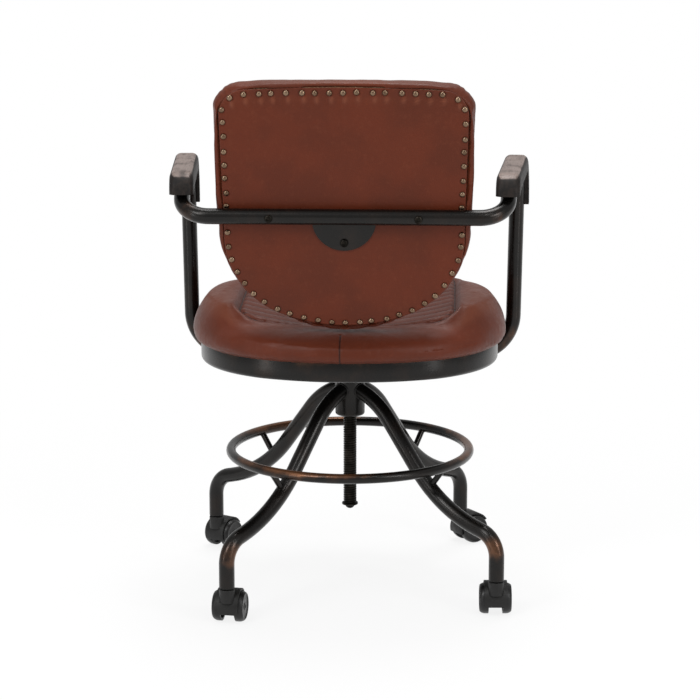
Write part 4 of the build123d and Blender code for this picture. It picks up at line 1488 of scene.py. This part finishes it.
def fold(place: Vector, size_mm: float, depth_mm: float, seed: float) -> float:
    """A soft random wrinkle height in metres at a place."""
    return noise.noise(place / (size_mm * MM) + Vector((seed, seed * 0.7, -seed))) * depth_mm * MM


@dataclass
class SeatCushion:
    """The saddle seat: a sewn panel of channels let into a pulled-down cover."""

    rim_z: float = 422.0
    panel_half: float = 172.0
    panel_rear: float = -150.0
    panel_front: float = 150.0
    panel_corner: float = 40.0
    pitch: float = 25.0
    crown_z: float = 500.0
    saddle_r: float = 620.0
    saddle_mid_z: float = 470.5
    saddle_slope: float = 3.4
    edge_rise: float = 22.0
    rear_bow: tuple[float, float] = (20.0, 125.0)
    roll_foot_z: float = 440.0
    roll_depth: float = 66.0
    roll_rise: float = 4.0
    roll_crest_z: float = 461.0
    roll_corner: float = 15.0
    roll_from_y: float = -105.0
    roll_full_y: float = -168.0
    shoulder_drop: tuple[float, float, float] = (493.0, 513.0, 9.5)
    channel_rise: float = 2.6
    channel_sink: float = 1.4
    seam_x: float = -6.5
    dents_x: tuple[float, ...] = (30.0, 43.0, 58.0)
    stuffing: Stuffing = field(default_factory=lambda: Stuffing(voxel=5.2, shrink=0.0, cap=5.0, smoothing=9))

    def panel_distance(self, place: Vector) -> float:
        """Distance to the panel's seam in millimetres, below zero inside it."""
        bow, spread = self.rear_bow
        rear = self.panel_rear + bow * hill(place.x / MM, 0, spread)
        middle, half_y = (rear + self.panel_front) / 2, (self.panel_front - rear) / 2
        qx = abs(place.x / MM) - self.panel_half + self.panel_corner
        qy = abs(place.y / MM - middle) - half_y + self.panel_corner
        return math.hypot(max(qx, 0.0), max(qy, 0.0)) + min(max(qx, qy), 0.0) - self.panel_corner

    def measure(self, piece: bpy.types.Object) -> None:
        """Note how far the cover reaches in each direction round the middle."""
        self.rays = [0.0] * RAYS
        for vert in piece.data.vertices:
            index = int(math.atan2(vert.co.y, vert.co.x) / FULL_TURN * RAYS) % RAYS
            self.rays[index] = max(self.rays[index], math.hypot(vert.co.x, vert.co.y) / MM)

    def reach(self, place: Vector) -> float:
        """How far out the cover's widest line lies on the way to a place."""
        turn = math.atan2(place.y, place.x) / FULL_TURN * RAYS - 0.5
        index = math.floor(turn)
        low, high = self.rays[index % RAYS], self.rays[(index + 1) % RAYS]
        return low + (high - low) * (turn - index)

    def saddle_z(self, x: float, y: float) -> float:
        """Height of the panel's own surface: the saddle, easing into the crown."""
        tilt = math.radians(self.saddle_slope)
        drop = -math.sqrt(self.saddle_r**2 - x**2)
        centre_y = -math.sin(tilt) * self.saddle_r
        centre_z = self.saddle_mid_z + math.cos(tilt) * self.saddle_r
        along = (y - centre_y + drop * math.sin(tilt)) / math.cos(tilt)
        saddle = centre_z + along * math.sin(tilt) + drop * math.cos(tilt)
        share = max(0.0, 1 - abs(saddle - self.crown_z) / 10)
        return min(saddle, self.crown_z) - 2.5 * share**2

    def shape(self, place: Vector, normal: Vector) -> tuple[Vector, float, float]:
        """Lay the sewn panel, sink its seam and channels, sew the rear, and wrinkle the cover."""
        x, y, z = place.x / MM, place.y / MM, place.z / MM
        border = self.panel_distance(place)
        top = smooth_share(normal.z, 0.35, 0.7)
        if y < self.roll_from_y and z > self.roll_foot_z:
            inward = min(1.0, max(0.0, self.reach(place) - math.hypot(x, y)) / self.roll_depth)
            level = self.roll_crest_z + self.roll_corner * (x / 180) ** 2
            crest = min(self.saddle_z(x, y), level) + self.roll_rise * hill(x, 0, 85)
            rolled = self.roll_foot_z + (crest - self.roll_foot_z) * math.sqrt(1 - (1 - inward) ** 2)
            sink = max(z - rolled, -self.roll_rise * smooth_share(normal.z, 0.1, 0.6))
            sink *= smooth_share(-y, -self.roll_from_y, -self.roll_full_y)
            place.z -= sink * MM
            z -= sink
        low, high, drop = self.shoulder_drop
        sink = drop * smooth_share(z, low, high)
        place.z -= sink * MM
        z -= sink
        seam = border if top > 0.3 else FAR_SEAM_MM
        inside = smooth_share(-border, -12.0, -3.0) * top
        if inside > 0:
            phase = ((y - self.panel_rear) / self.pitch) % 1.0
            gap = min(phase, 1 - phase) * self.pitch
            scallop = self.channel_rise * math.sqrt(1 - (1 - 2 * gap / self.pitch) ** 2)
            target = self.saddle_z(x, y) - self.channel_sink
            if y < self.roll_from_y:
                target = min(target, z + 0.5)
            target += scallop * smooth_share(-border, 1.0, 7.0)
            place.z += (target - z) * MM * inside
            if border < -2.0:
                side = gap if phase < 0.5 else -gap
                seam = side if abs(side) < abs(border) else border
        lift = (1.6 * hill(border, 8, 5) - 3.0 * hill(border, 0, 2.6)) * top
        if y < -150 and normal.y < -0.15:
            sewn = x - self.seam_x + 0.02 * (z - 445)
            lift += 0.5 * hill(abs(sewn), 5, 3) - 1.2 * hill(sewn, 0, 1.8)
            seam = sewn if abs(sewn) < abs(seam) else seam
            lift -= 0.9 * hill(z, 452, 9) * sum(hill(x, dent, 3.0) for dent in self.dents_x)
        away = smooth_share(border, 4.0, 24.0) if top > 0.1 else 1.0
        folds = fold(Vector((place.x, place.y * 0.5, place.z)), 34, 0.9, 3.0) + fold(place, 90, 1.5, 8.0)
        lift += folds / MM * away
        if z < self.rim_z + 12:
            pull = 0.25 * math.sin(math.atan2(place.y, place.x) * 46 + 2.0 * noise.noise(place * 9))
            lift = pull * (1 - (z - self.rim_z) / 14) if z > self.rim_z + 2 else 0.0
        # lighter on the upward faces of the top: partly rubbing, partly a painted sheen where light falls across the
        # seat
        wear = 0.65 * top * smooth_share(z, 455, 482) * away + 0.12 * max(0.0, noise.noise(place * 7))
        return place + normal * lift * MM, seam, wear

    def build(self) -> None:
        """Make the seat cushion."""
        low = self.rim_z + 4
        high = low + self.edge_rise
        piece = self.stuffing.plump("seat_cushion", lambda place: 1 - smooth_share(place.z / MM, low, high))
        self.measure(piece)
        dress(piece, "seat_cushion", self.shape)


@dataclass
class Backrest:
    """The padded back: cushion, rear panel, nails, plate and screws, in a plane leaned back 7 degrees."""

    tilt_deg: float = 7.0
    rail: tuple[float, float] = (-225.0, 655.0)
    rail_offset: float = 12.8
    panel: BackOutline = BackOutline(192.5, 201.0, 181.0)
    nail_row: BackOutline = BackOutline(187.0, 193.0, 177.0, (0.82, 0.966, 0.925, 0.86, 0.984))
    panel_h: float = 2.5
    head_r: float = 6.5
    nail_count: int = 60
    nail_r: float = 4.6
    nail_rise: float = 2.9
    pucker_at: tuple[float, float, float, float] = (3.0, 10.0, 3.2, 6.0)
    top_less: float = 4.7
    low_more: float = 10.0
    side_more: float = 5.0
    corner_drop: float = 5.0
    stuffing: Stuffing = field(default_factory=lambda: Stuffing(voxel=4.6, shrink=1.0, cap=5.0))

    def __post_init__(self) -> None:
        """Work out the plane's axes."""
        tilt = math.radians(self.tilt_deg)
        self.out = Vector((0, -math.cos(tilt), -math.sin(tilt)))
        self.up = Vector((0, -math.sin(tilt), math.cos(tilt)))
        self.across = Vector((1, 0, 0))
        self.origin = Vector((0, *self.rail)) - self.out * self.rail_offset

    def local(self, place: Vector) -> tuple[float, float, float]:
        """The plane's across, up and outward distances of a place in metres, in millimetres."""
        rel = place / MM - self.origin
        return rel.dot(self.across), rel.dot(self.up), rel.dot(self.out)

    def place(self) -> Matrix:
        """Placement of the plane, its Z axis outward."""
        axes = Matrix((self.across, self.up, self.out)).transposed().to_4x4()
        return Matrix.Translation(self.origin * MM) @ axes

    def build(self) -> None:
        """Make every piece of the back."""
        self.nails_at = self.nail_places()
        self.cushion()
        self.rear_panel()
        self.nails()
        eased_node("back_plate", "eased", Finish.DARK_METAL, 0.5, wear=lambda place, normal: 0.05)
        self.screws()
        eased_node("back_board", "ply", Finish.BOARD)

    def nail_places(self) -> list[tuple[float, float]]:
        """Where the nails go: evenly along their row, each a little off as hand driven nails are."""
        chance = random.Random(5)
        row = self.nail_row.points(24)
        runs = [(a, b, (b - a).length) for a, b in zip(row, row[1:] + row[:1])]
        total = sum(length for _, _, length in runs)
        places = []
        for i in range(self.nail_count):
            target = (total * i / self.nail_count + chance.uniform(-1.9, 1.9)) % total
            for a, b, length in runs:
                if target <= length:
                    point = a.lerp(b, target / length)
                    break
                target -= length
            places.append((point.x + chance.uniform(-0.8, 0.8), point.y + chance.uniform(-0.8, 0.8)))
        return places

    def cushion(self) -> None:
        """The padded front and border, sewn along the panel's edge and pleated at the top corners."""
        board = Fence(self.panel.points(12))
        sewn = Fence(BackOutline(176.0, 190.0, 156.0).points(12))

        def held(place: Vector) -> float:
            """Firm where the cover lies under the rear panel."""
            x, s, d = self.local(place)
            return 1.0 if d > -18 and board.distance(x, s) < 1.0 else 0.0

        def shape(place: Vector, normal: Vector) -> tuple[Vector, float, float]:
            """Fit the outline, sew the front, and wrinkle the border and its corners."""
            x, s, d = self.local(place)
            far = abs(x)
            stretch = -self.top_less * max(0.0, min(1.0, (s - 203) / 13.5))
            stretch -= self.low_more * smooth_share(-s, 150, 188) * smooth_share(150 - far, 0, 90)
            stretch -= self.corner_drop * smooth_share(far, 120, 205) * smooth_share(s, 150, 205)
            aside = math.copysign(self.side_more, x) * smooth_share(far, 184, 200) * smooth_share(s, -150, 60)
            aside *= 1 - 0.9 * smooth_share(s, 140, 215)
            corner = hill(far, 186, 15) * hill(s, 198, 15)
            seam = FAR_SEAM_MM
            lift = 0.0
            if board.distance(x, s) >= 0.5 or d <= -16.5:
                lift += fold(place, 40, 0.7, 5.0) + fold(Vector((place.x, place.y, place.z * 0.4)), 16, 0.35, 2.0)
                if corner > 0.02:
                    lift += 0.45 * MM * corner * math.sin(math.atan2(s - 168, far - 160) * 22)
            if normal.dot(self.out) < -0.4:
                seam = sewn.distance(x, s)
                lift += (hill(seam, 6.5, 4) - 2.2 * hill(seam, 0, 2.4)) * MM
            wear = 0.55 * hill(s, 212, 7) + 0.25 * corner
            return place + normal * lift + (self.up * stretch + self.across * aside) * MM, seam, wear

        dress(self.stuffing.plump("back_cushion", held), "back_cushion", shape)

    def rear_panel(self) -> None:
        """The leather panel: drawn down by its nails, puckered along the top, turned in at the edge."""
        bm = bmesh.new()
        outline = self.panel.points(24)
        count = len(outline)
        ring = bmesh.ops.create_circle(bm, cap_ends=False, radius=1.0, segments=count)["verts"]
        ring.sort(key=lambda v: math.atan2(v.co.y, v.co.x))
        start = min(range(count), key=lambda i: math.atan2(outline[i].y, outline[i].x))
        for index, vert in enumerate(ring):
            point = outline[(start + index) % count]
            vert.co = Vector((point.x, point.y, -self.panel_h + 0.1)) * MM
        edges = list(bm.edges)
        centre = Vector((0, 12.0, 0)) * MM
        depths = [-self.panel_h + 1.2, -0.9, -0.45, -0.2]
        shares = [0.9995, 0.998, 0.995, 0.991]
        steps = 46
        share = 0.991
        while share > 0.02:
            share -= 0.9911 / steps if share < 0.93 else 0.007
            if share > 0.02:
                shares.append(share)
                depths.append(0.0)
        previous = 1.0
        for share, depth in zip(shares, depths):
            verts, edges = grown_ring(bm, edges)
            factor = share / previous
            bmesh.ops.scale(bm, vec=(factor, factor, 1), verts=verts, space=Matrix.Translation(-centre))
            for vert in verts:
                vert.co.z = depth * MM
            previous = share
        bmesh.ops.holes_fill(bm, edges=edges)
        for vert in bm.verts:
            if vert.co.z > -1e-5:
                vert.co.z = self.panel_height(vert.co.x / MM, vert.co.y / MM) * MM
        bmesh.ops.transform(bm, matrix=self.place(), verts=bm.verts)
        bmesh.ops.holes_fill(bm, edges=[e for e in bm.edges if e.is_boundary])

        def wear(place: Vector, normal: Vector) -> float:
            """Rubbed along the top row of nails; on the puckers below them, a painted highlight."""
            x, s, _ = self.local(place)
            pulled = 0.3 * hill(s, 182, 8) * (0.5 + 0.5 * noise.noise(Vector((x * 0.12, s * 0.03, 1.0))))
            return min(1.0, pulled + 0.95 * self.pucker(x, s) + 0.1 * max(0.0, noise.noise(place * 6)))

        piece = finish_piece(bm, "back_panel", "leather", Finish.LEATHER, sharp_deg=60.0, wear=wear)
        layer = piece.data.attributes.new("seam_mm", "FLOAT", "POINT")
        layer.data.foreach_set("value", [FAR_SEAM_MM] * len(piece.data.vertices))

    def pucker(self, x: float, s: float) -> float:
        """How far a point lies on one of the bulges that the top nails squeeze up below them, 0 to 1."""
        if s < 160:
            return 0.0
        aside, under, wide, tall = self.pucker_at
        top = [(nx + aside, ns - under) for nx, ns in self.nails_at if ns > 168]
        return max(hill(x, nx, wide) * hill(s, ns, tall) for nx, ns in top)

    def panel_height(self, x: float, s: float) -> float:
        """How far the leather stands below the plane at a point, in millimetres."""
        gap = min(math.hypot(x - nx, s - ns) for nx, ns in self.nails_at)
        height = -1.1 * hill(gap, 0, 6.5) if gap < 16 else 0.0
        if s > 165:
            ripple = math.sin(x * FULL_TURN / 20.5 + 1.5 * noise.noise(Vector((x * 0.03, 0, 4.0))))
            height += hill(s, 184, 8.5) * (0.55 * ripple - 0.6)
        height += 0.28 * noise.noise(Vector((x * 0.016, s * 0.016, 2.0))) - 0.3
        return max(-1.9, min(-0.03, height)) + 2.0 * self.pucker(x, s)

    def nails(self) -> None:
        """A row of stamped dome nails."""
        chance = random.Random(9)
        bm = bmesh.new()
        for x, s in self.nails_at:
            radius = self.nail_r * chance.uniform(0.96, 1.04)
            lean = Matrix.Rotation(math.radians(chance.uniform(-5, 5)), 4, "X")
            lean = lean @ Matrix.Rotation(math.radians(chance.uniform(-5, 5)), 4, "Y")
            dome = quarter(radius, self.nail_rise, 7)[-2::-1]
            section = [(0, self.nail_rise), *dome, (radius * 0.98, -0.5), (0, -0.5)]
            place = self.place() @ Matrix.Translation(Vector((x, s, -0.3)) * MM) @ lean
            turned(bm, section, place, steps=20)

        def wear(place: Vector, normal: Vector) -> float:
            """Brown towards the rim."""
            return max(0.0, 1.0 - max(0.0, normal.dot(self.out)) * 1.5)

        finish_piece(bm, "back_nails", "brass", Finish.NAIL_BRASS, sharp_deg=60.0, wear=wear)

    def screws(self) -> None:
        """Round socket-headed screws: two in the rail, one in the plate."""
        bm = bmesh.new()
        for x, s, d in ((-116.0, 0.0, 25.4), (116.0, 0.0, 25.4), (0.0, -45.0, 2.5)):
            dome = [(r, 1.0 + rise) for r, rise in quarter(self.head_r, 3.4, 9) if r > 3.1]
            section = [(0, -8.0), (2.9, -8.0), (2.9, 0.0), (self.head_r, 0.0), *dome]
            section += [(3.0, dome[-1][1] + 0.1), (2.6, 2.0), (0, 1.6)]
            turned(bm, section, self.place() @ Matrix.Translation(Vector((x, s, d)) * MM), steps=28)
        finish_piece(bm, "back_screws", "round", Finish.SCREW_STEEL, sharp_deg=35.0)


# ---------------------------------------------------------------- seat pan and boards


@dataclass
class SeatPan:
    """The pressed dish under the seat and the board that lies in it."""

    def build(self) -> None:
        """Make the pan and the board from their CAD shapes, the pan's edges eased."""

        def wear(place: Vector, normal: Vector) -> float:
            """Rubbed along the top of the rim."""
            return 0.35 * hill(place.z / MM, 421, 3) + 0.08

        eased_node("seat_pan", "dish", Finish.DARK_METAL, 0.6, wear=wear)
        eased_node("seat_board", "ply", Finish.BOARD)


# ---------------------------------------------------------------- room, light and camera


@dataclass
class Studio:
    """A white floor, soft lamps and the photograph's viewpoint."""

    floor_half: float = 14.0
    camera_place: tuple[float, float, float] = (0.1745, -3.996, 1.235)
    pitch_deg: float = 11.82
    yaw_deg: float = 2.5
    focal_px: float = 2466.0
    frame_px: float = 700.0
    world_level: float = 0.5
    # name, place, the height faced, side, watts, and the upright side of a strip
    lamps: tuple[tuple[str, tuple[float, float, float], float, float, float, float], ...] = (
        ("key_lamp", (-1.9, -2.6, 2.7), 0.5, 0.9, 34.0, 0),
        ("fill_lamp", (2.3, -2.3, 1.9), 0.45, 0.8, 24.0, 0),
        ("top_lamp", (0.1, 0.5, 3.1), 0.5, 1.2, 42.0, 0),
        ("left_spot", (-1.0, -2.1, 3.2), 0.5, 0.45, 8.5, 0),
        ("right_spot", (1.0, -2.1, 3.2), 0.5, 0.45, 7.0, 0),
        ("left_strip", (-2.1, -1.9, 0.55), 0.35, 0.22, 7.0, 1.5),
        ("right_strip", (2.2, -1.7, 0.55), 0.35, 0.22, 6.0, 1.5),
    )

    def build(self) -> None:
        """Make the room."""
        self.floor()
        self.world()
        for name, place, aim_z, size, power, upright in self.lamps:
            self.lamp(name, place, aim_z, (size, upright or size), power)
        self.camera()

    def floor(self) -> None:
        """A wide pale floor; it shows nearly white to the camera and keeps the chair's shadow."""
        bm = bmesh.new()
        bmesh.ops.create_grid(bm, x_segments=1, y_segments=1, size=self.floor_half)
        mesh = bpy.data.meshes.new("floor")
        bm.to_mesh(mesh)
        bm.free()
        material = bpy.data.materials.new("pale_studio_floor")
        add = blank_nodes(material)
        seen = self.rays_seen(add, "Is Camera Ray", "Is Glossy Ray", "Is Transmission Ray")
        paint = add("BsdfDiffuse", {"Color": "#f6f6f6"})
        white = add("Emission", {"Color": "#ffffff", "Strength": 1.0})
        reach = add("VectorMath", (add("TexCoord", out="Object"),), "Value", operation="LENGTH")
        share = add("MapRange", (reach, 0.35, 1.5, 0.85, 1.0), **EASED)
        share = add("Math", (seen, share), operation="MULTIPLY")
        add("OutputMaterial", {"Surface": add("MixShader", (share, paint, white))})
        mesh.materials.append(material)
        floor = bpy.data.objects.new("floor", mesh)
        bpy.context.scene.collection.objects.link(floor)

    def rays_seen(self, add: Adder, first: str, *others: str) -> Socket:
        """One for rays of any of the named kinds, zero for all others.

        Args:
            add: adds a node to the material or world.
            first: a kind of ray, as the light path names it.
            others: further kinds.

        Returns:
            The answer.
        """
        seen = add("LightPath", out=first)
        for kind in others:
            seen = add("Math", (seen, add("LightPath", out=kind)), operation="MAXIMUM")
        return seen

    def world(self) -> None:
        """White to the camera and through glass, a soft grey light to everything else."""
        world = bpy.context.scene.world = bpy.data.worlds.new("studio_sky")
        add = blank_nodes(world)
        seen = self.rays_seen(add, "Is Camera Ray", "Is Transmission Ray")
        level = add("MapRange", (seen, 0.0, 1.0, self.world_level, 1.0))
        add("OutputWorld", {"Surface": add("Background", {"Color": "#ffffff", "Strength": level})})

    def lamp(
        self, name: str, place: tuple[float, float, float], aim_z: float, sides: tuple[float, float], power: float
    ) -> None:
        """Hang a soft lamp that faces a point on the chair's axis.

        Args:
            name: the lamp's name.
            place: where it hangs, in metres.
            aim_z: the height of the point that it faces.
            sides: its width and its upright side.
            power: its power in watts.
        """
        light = bpy.data.lights.new(name, "AREA")
        light.shape = "RECTANGLE"
        light.size, light.size_y = sides
        light.energy = power
        holder = bpy.data.objects.new(name, light)
        holder.location = place
        holder.rotation_euler = (Vector((0, 0, aim_z)) - Vector(place)).to_track_quat("-Z", "Y").to_euler()
        bpy.context.scene.collection.objects.link(holder)

    def camera(self) -> None:
        """Set the camera where the photograph was taken from."""
        data = bpy.data.cameras.new("photo_camera")
        data.sensor_width = 36.0
        data.lens = 36.0 * self.focal_px / self.frame_px
        data.clip_end = 100.0
        camera = bpy.data.objects.new("photo_camera", data)
        camera.location = self.camera_place
        camera.rotation_euler = (math.radians(90 - self.pitch_deg), 0.0, math.radians(self.yaw_deg))
        bpy.context.scene.collection.objects.link(camera)
        bpy.context.scene.camera = camera
        bpy.context.scene.view_settings.view_transform = "Standard"


# ---------------------------------------------------------------- the whole chair


def main() -> None:
    """Build the chair in order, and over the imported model."""
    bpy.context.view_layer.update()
    Studio().build()
    Base().build()
    for corner in Corner:
        Castor(corner).build()
    Lift().build()
    frame = ArmFrame()
    frame.build()
    ArmPads(frame).build()
    SeatPan().build()
    SeatCushion().build()
    Backrest().build()


if __name__ == "__main__":
    logging.basicConfig(level=logging.INFO, format="%(message)s")
    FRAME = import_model()
    main()
